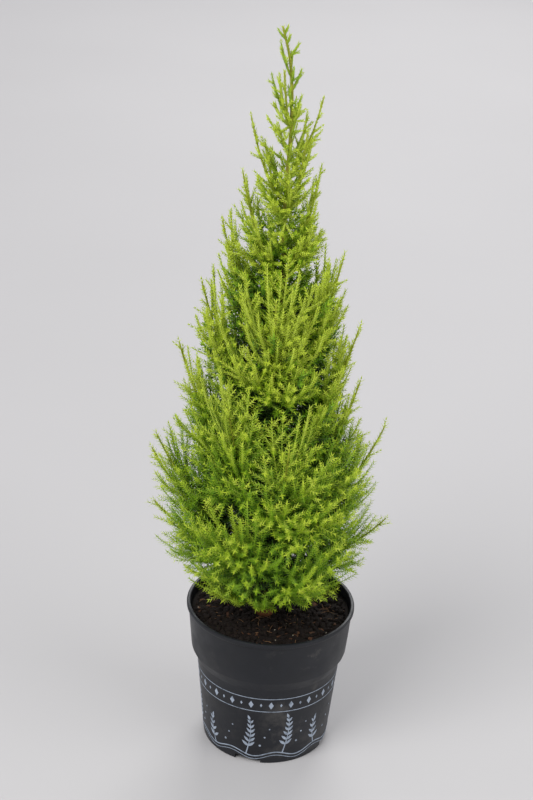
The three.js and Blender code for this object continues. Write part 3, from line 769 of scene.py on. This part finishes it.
def twig_mesh(rods, steps):
    """Closed three-sided twigs, each drawn out to a point: corners, triangles and the triangles' tones."""
    i = np.repeat(np.arange(rods.count), steps)
    share = np.tile(np.arange(steps) / steps, rods.count)
    middle, ahead = rods.at(i, share), rods.way(i, share)
    level, over = across(ahead, middle)
    radius = (rods.radius[i] * between(1, between(0.5, 0.85, rods.cord[i]), share))[:, None]
    turns = np.arange(3) * 2 * math.pi / 3
    rings = [middle + around(level, over, np.full(len(i), turn)) * radius for turn in turns]
    tips = rods.at(np.arange(rods.count), np.ones(rods.count))[:, None]
    corners = np.concatenate([np.stack(rings, axis=1).reshape(rods.count, -1, 3), tips], axis=1)
    tip, last = 3 * steps, 3 * steps - 3
    ends = [(last, last + 1, tip), (last + 1, last + 2, tip), (last + 2, last, tip), (0, 2, 1)]
    faces = ring_faces(3, steps) + ends
    return corners.reshape(-1, 3), repeated(faces, tip + 1, rods.count), np.repeat(rods.tone, len(faces))


def joined_meshes(parts):
    """Several (corners, faces, more) as one, with the faces' corners renumbered."""
    first, corners, faces, more = 0, [], [], []
    for part_corners, part_faces, *rest in parts:
        corners.append(part_corners)
        faces.append(part_faces + first)
        more.append(rest)
        first += len(part_corners)
    return [np.concatenate(corners), np.concatenate(faces), *[np.concatenate(m) for m in zip(*more)]]


def tube(line_places, radii, sides, relief):
    """A limb as rings round a line, with its ends closed. relief(turn, far) adds to the radius."""
    ways = unit(np.gradient(line_places, axis=0))
    side = np.array([1.0, 0.0, 0.0]) if abs(ways[0][0]) < 0.8 else np.array([0.0, 1.0, 0.0])
    turns = np.arange(sides) * 2 * math.pi / sides
    lengths = np.concatenate([[0], np.cumsum(np.linalg.norm(np.diff(line_places, axis=0), axis=1))])
    rings = []
    for place, way, radius, far in zip(line_places, ways, radii, lengths):
        side = unit(side - way * side.dot(way))
        over = np.cross(way, side)
        spokes = radius + np.array([relief(t, far) for t in turns])
        spoke_out, spoke_over = np.cos(turns) * spokes, np.sin(turns) * spokes
        rings.append(place + np.outer(spoke_out, side) + np.outer(spoke_over, over))
    corners = np.vstack([*rings, line_places[:1], line_places[-1:]])
    top, foot_end, top_end = len(corners) - 2 - sides, len(corners) - 2, len(corners) - 1
    faces = ring_faces(sides, len(line_places))
    for a in range(sides):
        b = (a + 1) % sides
        faces += [(b, a, foot_end), (top + a, top + b, top_end)]
    return corners, np.array(faces)


# Materials


def shader(name, roughness=0.5, specular=0.5):
    material = bpy.data.materials.new(name)
    material.use_nodes = True
    main = material.node_tree.nodes["Principled BSDF"]
    main.inputs["Roughness"].default_value = roughness
    main.inputs["Specular IOR Level"].default_value = specular
    return material, main


def plain(name, code, roughness=0.5, specular=0.35):
    material, main = shader(name, roughness, specular)
    main.inputs["Base Color"].default_value = (*tinted(code), 1)
    return material


class Nodes:
    """Adds nodes to a material in few words. Values are numbers, colours as #rrggbb or other outputs."""

    def __init__(self, material):
        self.tree = material.node_tree
        self.place = self.add("TexCoord", {}, "Object")

    def put(self, socket, value):
        if isinstance(value, bpy.types.NodeSocket):
            self.tree.links.new(value, socket)
        else:
            socket.default_value = (*tinted(value), 1) if isinstance(value, str) else value

    def add(self, kind, inputs, output=0, **settings):
        node = self.tree.nodes.new("ShaderNode" + kind)
        for name, setting in settings.items():
            setattr(node, name, setting)
        for name, value in inputs.items():
            self.put(node.inputs[name], value)
        return node.outputs[output]

    def stretched(self, scale):
        return self.add("Mapping", {"Vector": self.place, "Scale": scale})

    def noise(self, scale, detail=4, roughness=0.55, vector=None):
        inputs = {"Vector": vector or self.place, "Scale": scale, "Detail": detail, "Roughness": roughness}
        return self.add("TexNoise", inputs, "Fac")

    def ramp(self, value, stops):
        colour = self.add("ValToRGB", {"Fac": value}, "Color")
        line = colour.node.color_ramp.elements
        while len(line) < len(stops):
            line.new(0.5)
        for element, (position, code) in zip(line, stops):
            element.position = position
            element.color = (*tinted(code), 1)
        return colour

    def mix(self, share, a, b, blend="MIX"):
        return self.add("Mix", {0: share, 6: a, 7: b}, 2, data_type="RGBA", blend_type=blend)

    def level(self, value, low, high, to_low=0.0, to_high=1.0):
        ends = {"From Min": low, "From Max": high, "To Min": to_low, "To Max": to_high}
        return self.add("MapRange", {"Value": value, **ends}, "Result")

    def times(self, a, b):
        return self.add("Math", {0: a, 1: b}, operation="MULTIPLY")

    def height(self):
        return self.add("SeparateXYZ", {"Vector": self.place}, "Z")

    def bump(self, main, value, strength, distance):
        inputs = {"Height": value, "Strength": strength, "Distance": distance}
        self.put(main.inputs["Normal"], self.add("Bump", inputs))


def pot_plastic():
    """Charcoal plastic with a fine grain, soil dust on the band and a few pale water marks."""
    material, main = shader("charcoal_plastic", specular=0.4)
    nodes = Nodes(material)
    body = nodes.ramp(nodes.noise(28, 5), [(0.3, "#101217"), (0.7, "#1a1c22")])
    on_band = nodes.level(nodes.height(), 0.066, 0.1)
    dust = nodes.level(nodes.noise(34, 7, 0.68), 0.52, 0.72)
    smears = nodes.level(nodes.noise(13, 3, 0.5, nodes.stretched((1, 1, 0.35))), 0.48, 0.7)
    marks = nodes.times(nodes.times(dust, smears), nodes.level(on_band, 0, 1, 0.28, 0.72))
    nodes.put(main.inputs["Base Color"], nodes.mix(marks, body, "#8d8880"))
    nodes.put(main.inputs["Roughness"], nodes.level(nodes.noise(60, 4), 0.3, 0.7, 0.38, 0.56))
    nodes.bump(main, nodes.noise(900, 3), 0.12, 0.0004)
    return material


def mottled(name, stops, scale, detail=5, grain=0.55, roughness=0.85, specular=0.3, relief=()):
    """A colour that turns by noise. Relief holds a noise's scale, detail and grain, strength and depth."""
    material, main = shader(name, roughness, specular)
    nodes = Nodes(material)
    nodes.put(main.inputs["Base Color"], nodes.ramp(nodes.noise(scale, detail, grain), stops))
    if relief:
        *pattern, strength, depth = relief
        nodes.bump(main, nodes.noise(*pattern), strength, depth)
    return material


def speckled(name, dark, light, scale):
    return mottled(name, [(0.3, dark), (0.7, light)], scale, relief=(scale * 2, 4, 0.55, 0.4, 0.0003))


def bark(name, stops, scale, relief):
    """Fissured bark: streaks drawn out along the stem, darkened in the fissures as painted shade, its
    colour turning with the height.
    """
    material, main = shader(name, roughness=0.8, specular=0.25)
    nodes = Nodes(material)
    streaks = nodes.noise(scale, 7, 0.62, nodes.stretched((1, 1, 0.22)))
    aged = nodes.ramp(nodes.level(nodes.height(), SOIL_TOP * MM, PLANT_TOP * MM), stops)
    # Painted shade: where the streaks sink into fissures, the bark's colour is multiplied darker
    painted_fissure_shade = nodes.ramp(streaks, [(0.32, "#5a4a3c"), (0.5, "#c9bfae"), (0.72, "#ffffff")])
    nodes.put(main.inputs["Base Color"], nodes.mix(0.8, aged, painted_fissure_shade, "MULTIPLY"))
    nodes.bump(main, streaks, relief, 0.0005)
    return material


# Plant pieces

# Needle and twig colours from dark to light, dealt out by tones that hold painted shade inside the crown
# and painted light on its top; the darkest green mostly stands for shade deep in the crown
GREENS = ("#2a4510", "#588413", "#7fa61b", "#a2bd27", "#bdcf3c")
TWIG_TONES = ("#7b8f2d", "#a2bb3e", "#c2d255")
# From the soil up
TRUNK_BARK = [(0, "#7c5030"), (0.35, "#7b5a34"), (0.7, "#aaa64a"), (1, "#b6be4c")]
BOUGH_BARK = [(0, "#80603a"), (0.4, "#87733c"), (1, "#98943f")]
STEM_BARK = [(0, "#a8b340"), (0.4, "#b6c242"), (1, "#bccb4c")]


def toned(tones, materials):
    return (np.clip(tones, 0, 0.999) * len(materials)).astype(int)


def finish_piece(made, slot, *nodes):
    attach(made, "root")
    if nodes:
        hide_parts(*nodes)


def mass_names(low, high):
    return [f"foliage_{k + 1:02d}" if k < SHOOT_COUNT else "foliage_leader" for k in range(low, high)]


def grown_twigs():
    """All that bears needles: first each with what it stands on, then what is on the top of the trunk."""
    sets = plume_tips(PLUME_AREAS, PLUME_LAYERS), plume_tips(INNER_AREAS, INNER_LAYERS)
    tips, depths = (np.concatenate(both) for both in zip(*sets))
    owners = np.argmin([distance_to_line(tips, s.places) for s in shoots], axis=0)
    bearers = []
    for shoot in shoots:
        own = np.flatnonzero(owners == shoot.index)
        plumes = plumes_of(shoot, tips[own], own, bearing(shoot, depths[own]))
        bearers.append((plumes, [axis_of(shoot)], shoot.index))
    bearers += [(plumes, [], int(plumes.owner[0])) for plumes in trunk_plumes() if plumes.count]
    bearers.append((leader_twigs(), [], SHOOT_COUNT))
    rods, plume_twigs, sprig_twigs = [], [], []
    for plumes, axis, own in bearers:
        sprigs = sprigs_of(joined([plumes, *axis]), own)
        rods += [plumes, sprigs, *axis]
        plume_twigs.append(plumes)
        sprig_twigs.append(sprigs)
    return joined([*rods, top_of_trunk()]), joined(plume_twigs), joined(sprig_twigs)


def make_foliage():
    rods, plume_twigs, sprig_twigs = grown_twigs()
    corners, triangles, tones, owners = needle_mesh(rods)
    greens = [plain(f"needles_{k + 1}", code) for k, code in enumerate(GREENS)]
    slots = toned(tones, greens)
    order = np.argsort(owners, kind="stable")
    starts = np.searchsorted(owners[order], np.arange(SHOOT_COUNT + 2))
    bounds = balanced(starts, NEEDLE_PIECES)
    for k, (low, high) in enumerate(zip(bounds[:-1], bounds[1:])):
        kept = order[starts[low] : starts[high]]
        used, renumbered = np.unique(triangles[kept], return_inverse=True)
        faces = renumbered.reshape(-1, 3)
        made = piece(f"needles_{k + 1}", corners[used], faces, greens, slots[kept])
        finish_piece(made, "foliage", *mass_names(low, high))
    corners, faces, tones = joined_meshes([twig_mesh(plume_twigs, 4), twig_mesh(sprig_twigs, 1)])
    wood = [plain(f"twig_{k + 1}", code, 0.55) for k, code in enumerate(TWIG_TONES)]
    made = piece("twigs", corners, faces, wood, toned(tones, wood), smooth=True)
    finish_piece(made, "foliage", *mass_names(0, SHOOT_COUNT + 1))


def balanced(starts, parts):
    """Bounds between owners that share the triangles out about evenly."""
    total = starts[-1]
    cuts = [int(np.argmin(np.abs(starts - total * k / parts))) for k in range(1, parts)]
    return [0, *cuts, SHOOT_COUNT + 1]


def ridges(scale, depth, seed):
    """Bark relief: uneven ridges that run along a limb, by the turn round it and the way up."""

    def relief(turn, far):
        place = Vector((math.cos(turn) * 2.2, math.sin(turn) * 2.2, far * scale + seed))
        fine = Vector((math.cos(turn) * 5, math.sin(turn) * 5, far * scale * 3 + seed))
        return depth * (noise.noise(place) + 0.5 * noise.noise(fine))

    return relief


def make_limbs():
    places = trunk_line.at(np.linspace(0, 1, 260))
    radii = trunk_radius(places[:, 2])
    radii[-1] = 0.3
    relief = ridges(0.16, 0.5, SEED)
    smoother = lambda turn, far: relief(turn, far) * (1 - 0.85 * min(1, far / FISSURED))
    corners, faces = tube(places, radii, 24, smoother)
    materials = [bark("trunk_bark", TRUNK_BARK, 420, 0.7)]
    finish_piece(piece("trunk_bark", corners, faces, materials, smooth=True), "bark", "trunk")
    boughs, stems = [], []
    for shoot in shoots:
        seed = 10 * shoot.index
        shares = np.linspace(0, shoot.start, 14)
        radii = shoot.radius(shares) * (1 + BOUGH_FLARE * (1 - shares / shoot.start) ** 3)
        if shoot.has_bough:
            boughs.append(tube(shoot.line.at(shares), radii, 10, ridges(0.3, 0.16, seed)))
        else:
            stems.append(tube(shoot.line.at(shares), radii, 8, ridges(0.3, 0.1, seed)))
        shares = np.linspace(shoot.start, 0.985, 26)
        thinner = (shares - shoot.start) / (1 - shoot.start)
        radii = between(float(shoot.radius(shoot.start)), 0.4, thinner)
        radii[-1] = 0.2
        stems.append(tube(shoot.line.at(shares), radii, 8, ridges(0.3, 0.08, seed + 5)))
    corners, faces = joined_meshes(boughs)
    made = piece("boughs", corners, faces, [bark("bough_bark", BOUGH_BARK, 520, 0.6)], smooth=True)
    finish_piece(made, "young_bark", *[f"bough_{k + 1:02d}" for k in range(BOUGH_COUNT)])
    corners, faces = joined_meshes(stems)
    made = piece("stems", corners, faces, [bark("stem_bark", STEM_BARK, 600, 0.4)], smooth=True)
    finish_piece(made, "foliage", *mass_names(0, SHOOT_COUNT + 1))


# Pot


def pot_radius(height):
    profile = [(0, FOOT_RADIUS), BODY_TOP[::-1], BAND_FOOT[::-1], (POT_HEIGHT, RIM_RADIUS - LIP_PROUD)]
    return along(profile, height)


def lathe(profile, sides):
    """A closed form turned round the Z axis. The profile starts and ends on the axis."""
    turns = np.arange(sides) * 2 * math.pi / sides
    corners, faces = [(0, 0, profile[0][1])], []
    for radius, height in profile[1:-1]:
        corners += [(radius * math.cos(t), radius * math.sin(t), height) for t in turns]
    corners.append((0, 0, profile[-1][1]))
    rings = len(profile) - 2
    for a in range(sides):
        b = (a + 1) % sides
        faces.append((0, 1 + b, 1 + a))
        for ring in range(rings - 1):
            low, high = 1 + ring * sides, 1 + (ring + 1) * sides
            faces.append((low + a, low + b, high + b, high + a))
        top = 1 + (rings - 1) * sides
        faces.append((top + a, top + b, len(corners) - 1))
    return corners, faces


def prism(outline, low, high):
    """A flat outline drawn up from low to high."""
    count = len(outline)
    corners = [(x, y, z) for z in (low, high) for x, y in outline]
    faces = [tuple(range(count - 1, -1, -1)), tuple(range(count, 2 * count))]
    faces += [(a, (a + 1) % count, count + (a + 1) % count, count + a) for a in range(count)]
    return corners, faces


def turned_outline(outline, azimuth):
    c, s = math.cos(math.radians(azimuth)), math.sin(math.radians(azimuth))
    return [(x * c - y * s, x * s + y * c) for x, y in outline]


def pocket_outline(inner, outer, wide):
    """Straight inside and at its ends, round outside."""
    half = wide / 2
    end = math.asin(half / outer)
    arc = [(outer * math.cos(end * s), outer * math.sin(end * s)) for s in (-1, -0.5, 0, 0.5, 1)]
    return [(inner, -half), *arc, (inner, half)]


def carve(made, cutters, operation):
    """Joins cutters to a mesh or cuts them out of it."""
    for corners, faces in cutters:
        cutter = piece("cutter", corners, faces, [])
        change = made.modifiers.new("change", "BOOLEAN")
        change.operation = operation
        change.solver = "EXACT"
        change.object = cutter
        with bpy.context.temp_override(object=made, active_object=made):
            bpy.ops.object.modifier_apply(modifier=change.name)
        bpy.data.objects.remove(cutter)


def inner_radius(height):
    return pot_radius(height) - POT_WALL


def make_pot():
    profile = [(0, 0), *[(pot_radius(z) + more, z + up) for z, more, up in POT_OUTSIDE]]
    profile += [(RIM_RADIUS + more, z) for more, z in POT_LIP]
    profile += [(inner_radius(POT_HEIGHT) + 0.5, POT_HEIGHT), (inner_radius(POT_HEIGHT), POT_HEIGHT - 0.5)]
    profile += [(inner_radius(z), z) for z in (95, BAND_FOOT[1], BODY_TOP[1], 30, POT_WALL)]
    profile.append((0, POT_WALL))
    made = piece("pot_shell", *lathe(profile, POT_SIDES), [pot_plastic()])
    linings, cuts = [], []
    deep = FOOT_RADIUS - NOTCH_DEEP
    lining = pocket_outline(deep - POT_WALL, FOOT_RADIUS - 0.6, NOTCH_WIDE + 2 * POT_WALL)
    notch = pocket_outline(deep, FOOT_RADIUS + 9, NOTCH_WIDE)
    for i in range(NOTCH_COUNT):
        azimuth = NOTCH_FIRST + 360 / NOTCH_COUNT * i
        linings.append(prism(turned_outline(lining, azimuth), 0.4, NOTCH_HIGH + POT_WALL))
        cuts.append(prism(turned_outline(notch, azimuth), -5, NOTCH_HIGH))
    for i in range(DRAIN_COUNT):
        turn = math.radians(NOTCH_FIRST + 360 / DRAIN_COUNT * (i + 0.5))
        x, y = DRAIN_RING * math.cos(turn), DRAIN_RING * math.sin(turn)
        turns = np.arange(20) * math.pi / 10
        ring = [(x + DRAIN_RADIUS * math.cos(a), y + DRAIN_RADIUS * math.sin(a)) for a in turns]
        cuts.append(prism(ring, -2, 8))
    carve(made, linings, "UNION")
    carve(made, cuts, "DIFFERENCE")
    made.data.polygons.foreach_set("use_smooth", np.full(len(made.data.polygons), True))
    made.data.set_sharp_from_angle(angle=math.radians(28))
    finish_piece(made, "pot", "pot")


# The print: stems with pairs of leaves that stand on a wavy line, under a row of lozenges

PRINT_PROUD = 0.09
PRINT_SUNK = 0.3
PRINT_RADIUS = 47.5  # where a length along the print is true
PRINT_ROUND = 2 * math.pi * PRINT_RADIUS
PRINT_LINES = (46.5, 57.5)
LOZENGE_COUNT = 44
LOZENGE_HEIGHT = 52
WAVE_COUNT = 9
WAVE_HEIGHT = 2
STEM_COUNT = 11
STEM_FOOT = 8
# By turns
LOZENGE_SIZES = (3.1, 1.5)
STEM_HEIGHTS = (31, 22)
STEM_LEANS = (3.5, -3)
LEAF_PAIRS = (6, 4)


def on_pot(points, proud):
    """Places on the body of the pot from lengths round it and heights."""
    points = np.asarray(points, float)
    turn = points[:, 0] / PRINT_RADIUS - math.pi / 2
    radius = pot_radius(points[:, 1]) + proud
    return np.stack([radius * np.cos(turn), radius * np.sin(turn), points[:, 1]], axis=1)


def inlay(outline):
    """A convex outline on the pot as a thin closed plate."""
    count = len(outline)
    corners = np.vstack([on_pot(outline, PRINT_PROUD), on_pot(outline, -PRINT_SUNK)])
    faces = [(0, a, a + 1) for a in range(1, count - 1)]
    faces += [(count, count + a + 1, count + a) for a in range(1, count - 1)]
    for a in range(count):
        b = (a + 1) % count
        faces += [(a, count + a, count + b), (a, count + b, b)]
    return corners, np.array(faces)


def leaf_outline(foot, angle, length, wide):
    s = np.linspace(0, 1, 7)
    half = wide / 2 * np.sin(math.pi * s**0.8)
    x, y = np.concatenate([s, s[-2:0:-1]]) * length, np.concatenate([-half, half[-2:0:-1]])
    c, d = math.cos(angle), math.sin(angle)
    return np.stack([foot[0] + x * c - y * d, foot[1] + x * d + y * c], axis=1)


def ribbon(places, wide):
    """Short plates along a flat line."""
    places = np.asarray(places, float)
    ways = np.gradient(places, axis=0)
    ways /= np.linalg.norm(ways, axis=1, keepdims=True)
    side = np.stack([-ways[:, 1], ways[:, 0]], axis=1) * (np.asarray(wide).reshape(-1, 1) / 2)
    left, right = places + side, places - side
    return [inlay([right[i], right[i + 1], left[i + 1], left[i]]) for i in range(len(places) - 1)]


def dot(place, radius):
    turns = np.arange(10) * math.pi / 5
    return inlay(np.stack([place[0] + radius * np.cos(turns), place[1] + radius * np.sin(turns)], axis=1))


def wave(x):
    return STEM_FOOT + WAVE_HEIGHT * math.sin(x * WAVE_COUNT / PRINT_RADIUS)


def print_stem(middle, kind):
    """A leaning stem with its leaves and a column of dots beside it."""
    lean, tall, foot = STEM_LEANS[kind], STEM_HEIGHTS[kind], wave(middle)
    stem_at = lambda share: (middle + lean * math.sin(2.2 * share), foot + tall * share)
    shares = np.linspace(0, 1, 13)
    parts = ribbon([stem_at(s) for s in shares], between(0.9, 0.4, shares))
    for share in np.linspace(0.24, 0.9, LEAF_PAIRS[kind]):
        size = between(7.2, 3.6, share)
        for hand in (1, -1):
            angle = math.pi / 2 - hand * between(0.95, 0.5, share)
            parts.append(inlay(leaf_outline(stem_at(share), angle, size, 0.34 * size)))
    parts.append(inlay(leaf_outline(stem_at(1), math.pi / 2 + 0.1 * lean, 4.5, 1.7)))
    for i in range(3):
        aside = PRINT_ROUND / STEM_COUNT * (0.5 + 0.12 * (i - 1))
        parts.append(dot((middle + aside, foot + 9 + 7.5 * i), 0.85 - 0.15 * i))
    return parts


def make_print():
    xs = np.linspace(0, PRINT_ROUND, 181)
    parts = ribbon([(x, wave(x)) for x in xs], 0.8) + ribbon([(x, wave(x) - 2.6) for x in xs], 0.4)
    for height in PRINT_LINES:
        parts += ribbon([(x, height) for x in xs], 0.5)
    for k in range(LOZENGE_COUNT):
        x, z, size = PRINT_ROUND * (k + 0.5) / LOZENGE_COUNT, LOZENGE_HEIGHT, LOZENGE_SIZES[k % 2]
        parts.append(inlay([(x - 0.55 * size, z), (x, z - size), (x + 0.55 * size, z), (x, z + size)]))
    for k in range(STEM_COUNT):
        parts += print_stem(PRINT_ROUND * (k + 0.5) / STEM_COUNT, k % 2)
    corners, faces = joined_meshes(parts)
    ink = [(0.32, "#737d8a"), (0.5, "#9ba6b5"), (0.8, "#adb8c6")]
    silver = mottled("silver_print", ink, 240, 4, roughness=0.45, specular=0.4)
    finish_piece(piece("pot_print", corners, faces, [silver]), "pot")


# Soil


def from_trunk(x, y):
    return np.hypot(x - TRUNK_KNOTS[0][0], y - TRUNK_KNOTS[0][1])


def soil_height(x, y):
    share = np.clip((from_trunk(x, y) - FLAT_BED) / BED_RISE, 0, 1)
    swell = 0.5 + 0.5 * np.sin(0.11 * x + 1.3) * np.cos(0.09 * y - 0.4)
    return SOIL_TOP + SOIL_MOUND * share * between(0.15, 1, swell)


def make_soil():
    bed = NOTCH_HIGH + POT_WALL + CLEAR
    outer = lambda z: inner_radius(z) - CLEAR
    top = outer(SOIL_TOP)
    profile = [(0, bed), *[(outer(z), z) for z in (bed, BODY_TOP[1], BAND_FOOT[1], SOIL_TOP - 2)]]
    profile += [(top * i / SOIL_RINGS, SOIL_TOP) for i in range(SOIL_RINGS, -1, -1)]
    corners, faces = lathe(profile, SOIL_SIDES)
    corners = np.array(corners)
    for corner in corners:
        x, y, z = corner
        if z < SOIL_TOP - 0.01:
            continue
        coarse, fine = noise.noise(Vector((x / 5, y / 5, 3))), noise.noise(Vector((x / 1.8, y / 1.8, 9)))
        near_wall = min(1, (top - math.hypot(x, y)) / 4)
        corner[2] = soil_height(x, y) + (coarse * 0.9 + fine * 0.7) * between(0.4, 1, near_wall)
    dark = [(0.3, "#0d0806"), (0.55, "#1b130e"), (0.8, "#2e2119")]
    peat = mottled("damp_peat", dark, 330, 6, 0.7, 0.9, 0.25, (900, 6, 0.7, 0.6, 0.0006))
    finish_piece(piece("soil_bed", corners, faces, [peat], smooth=True), "soil", "soil")
    draw = np.random.default_rng(SEED)
    chips = speckled("bark_chips", "#2c1b10", "#62402a", 300)
    grains = speckled("pale_grains", "#8a7f6c", "#b8af9e", 500)
    scatter = {
        "soil_crumbs": (1500, (0.7, 2.6), (1, 1, 0.8), peat),
        "soil_chips": (110, (1.4, 4.0), (1, 0.5, 0.28), chips),
        "soil_grains": (16, (0.4, 0.8), (1, 0.9, 0.9), grains),
    }
    for name, (count, sizes, squash, material) in scatter.items():
        corners, faces = joined_meshes([lump_at(draw, sizes, squash, top - 1.5) for _ in range(count)])
        finish_piece(piece(name, corners, faces, [material]), "soil")
    corners, faces = joined_meshes([root_fibre(draw, top - 1) for _ in range(ROOT_COUNT)])
    fibres = speckled("root_fibres", "#4a3322", "#7c5d40", 260)
    finish_piece(piece("soil_roots", corners, faces, [fibres], smooth=True), "soil")


GOLD = (1 + 5**0.5) / 2
LUMP_CORNERS = unit(
    np.array(
        [(-1, GOLD, 0), (1, GOLD, 0), (-1, -GOLD, 0), (1, -GOLD, 0), (0, -1, GOLD), (0, 1, GOLD)]
        + [(0, -1, -GOLD), (0, 1, -GOLD), (GOLD, 0, -1), (GOLD, 0, 1), (-GOLD, 0, -1), (-GOLD, 0, 1)]
    )
)
LUMP_FACES = np.array(
    [(0, 11, 5), (0, 5, 1), (0, 1, 7), (0, 7, 10), (0, 10, 11), (1, 5, 9), (5, 11, 4), (11, 10, 2)]
    + [(10, 7, 6), (7, 1, 8), (3, 9, 4), (3, 4, 2), (3, 2, 6), (3, 6, 8), (3, 8, 9), (4, 9, 5)]
    + [(2, 4, 11), (6, 2, 10), (8, 6, 7), (9, 8, 1)]
)


def turn_matrix(draw, tilt):
    spin, lean, side = draw.uniform(0, 2 * math.pi), draw.normal(0, tilt), draw.uniform(0, 2 * math.pi)
    turns = (side, "Z"), (lean, "X"), (spin, "Z")
    first, second, third = (Matrix.Rotation(turn, 3, axis) for turn, axis in turns)
    return np.array(first @ second @ third)


def spot_on_soil(draw, reach):
    """A place on the soil, clear of the trunk."""
    while True:
        far, turn = reach * math.sqrt(draw.uniform()), draw.uniform(0, 2 * math.pi)
        x, y = far * math.cos(turn), far * math.sin(turn)
        if from_trunk(x, y) > 8:
            return x, y


def lump_at(draw, sizes, squash, reach):
    size = between(*sizes, draw.uniform() ** 2.2)
    x, y = spot_on_soil(draw, reach - size)
    shape = LUMP_CORNERS * draw.uniform(0.72, 1.15, (12, 1)) * squash * size
    place = np.array([x, y, soil_height(x, y) + 0.35 * size * squash[2]])
    return shape @ turn_matrix(draw, 0.35).T + place, LUMP_FACES


def root_fibre(draw, reach):
    length = draw.uniform(5, 15)
    x, y = spot_on_soil(draw, reach - length)
    turn, curl = draw.uniform(0, 2 * math.pi), draw.normal(0, 0.09)
    places = []
    for step in np.linspace(0, length, 8):
        places.append((x, y, soil_height(x, y) + 1.1 * math.sin(math.pi * step / length)))
        turn += curl
        x += math.cos(turn) * length / 7
        y += math.sin(turn) * length / 7
    return tube(np.array(places), np.full(8, draw.uniform(0.14, 0.3)), 4, lambda t, far: 0)


# Stage, light and camera


def make_stage():
    reach = 8000
    corners = [(-reach, -reach, 0), (reach, -reach, 0), (reach, reach, 0), (-reach, reach, 0)]
    greys = [(0.3, "#bcbaba"), (0.7, "#c0bebe")]
    pale = mottled("pale_floor", greys, 1.2, 3, roughness=0.6, specular=0.2)
    floor = piece("floor", corners, [(0, 1, 2, 3)], [pale])


def area_light(name, place, target, size, power):
    light = bpy.data.lights.new(name, "AREA")
    light.shape = "SQUARE"
    light.size = size
    light.energy = power
    made = bpy.data.objects.new(name, light)
    made.location = place
    made.rotation_mode = "QUATERNION"
    made.rotation_quaternion = (Vector(target) - Vector(place)).to_track_quat("-Z", "Y")
    bpy.context.scene.collection.objects.link(made)


def make_light():
    target = (0, 0, 0.25)
    area_light("key", (-1.3, -1.5, 2.2), target, 1.6, 56)
    area_light("fill", (1.8, -1.0, 1.4), target, 1.8, 22)
    area_light("back", (0.4, 2.3, 1.9), (0, 0.7, 0), 1.6, 38)
    world = bpy.data.worlds.new("studio")
    world.use_nodes = True
    background = world.node_tree.nodes["Background"]
    background.inputs["Color"].default_value = (0.92, 0.94, 1.0, 1)
    background.inputs["Strength"].default_value = 0.46
    bpy.context.scene.world = world


def make_camera():
    camera = bpy.data.cameras.new("camera")
    camera.sensor_fit = "VERTICAL"
    camera.sensor_height = SENSOR_HEIGHT
    camera.lens = FOCAL_PIXELS / PHOTO_HEIGHT * SENSOR_HEIGHT
    made = bpy.data.objects.new("camera", camera)
    ahead = Vector((0, math.cos(CAMERA_DOWN), -math.sin(CAMERA_DOWN)))
    right, over = Vector((1, 0, 0)), Vector((0, math.sin(CAMERA_DOWN), math.cos(CAMERA_DOWN)))
    c, s = math.cos(CAMERA_ROLL), math.sin(CAMERA_ROLL)
    columns = (c * right + s * over, c * over - s * right, -ahead)
    made.matrix_world = Matrix.Translation(CAMERA_PLACE) @ Matrix(columns).transposed().to_4x4()
    bpy.context.scene.collection.objects.link(made)
    bpy.context.scene.camera = made


make_camera()
make_limbs()
make_foliage()
make_pot()
make_print()
make_soil()
make_stage()
make_light()
bpy.context.scene.view_settings.view_transform = "Standard"
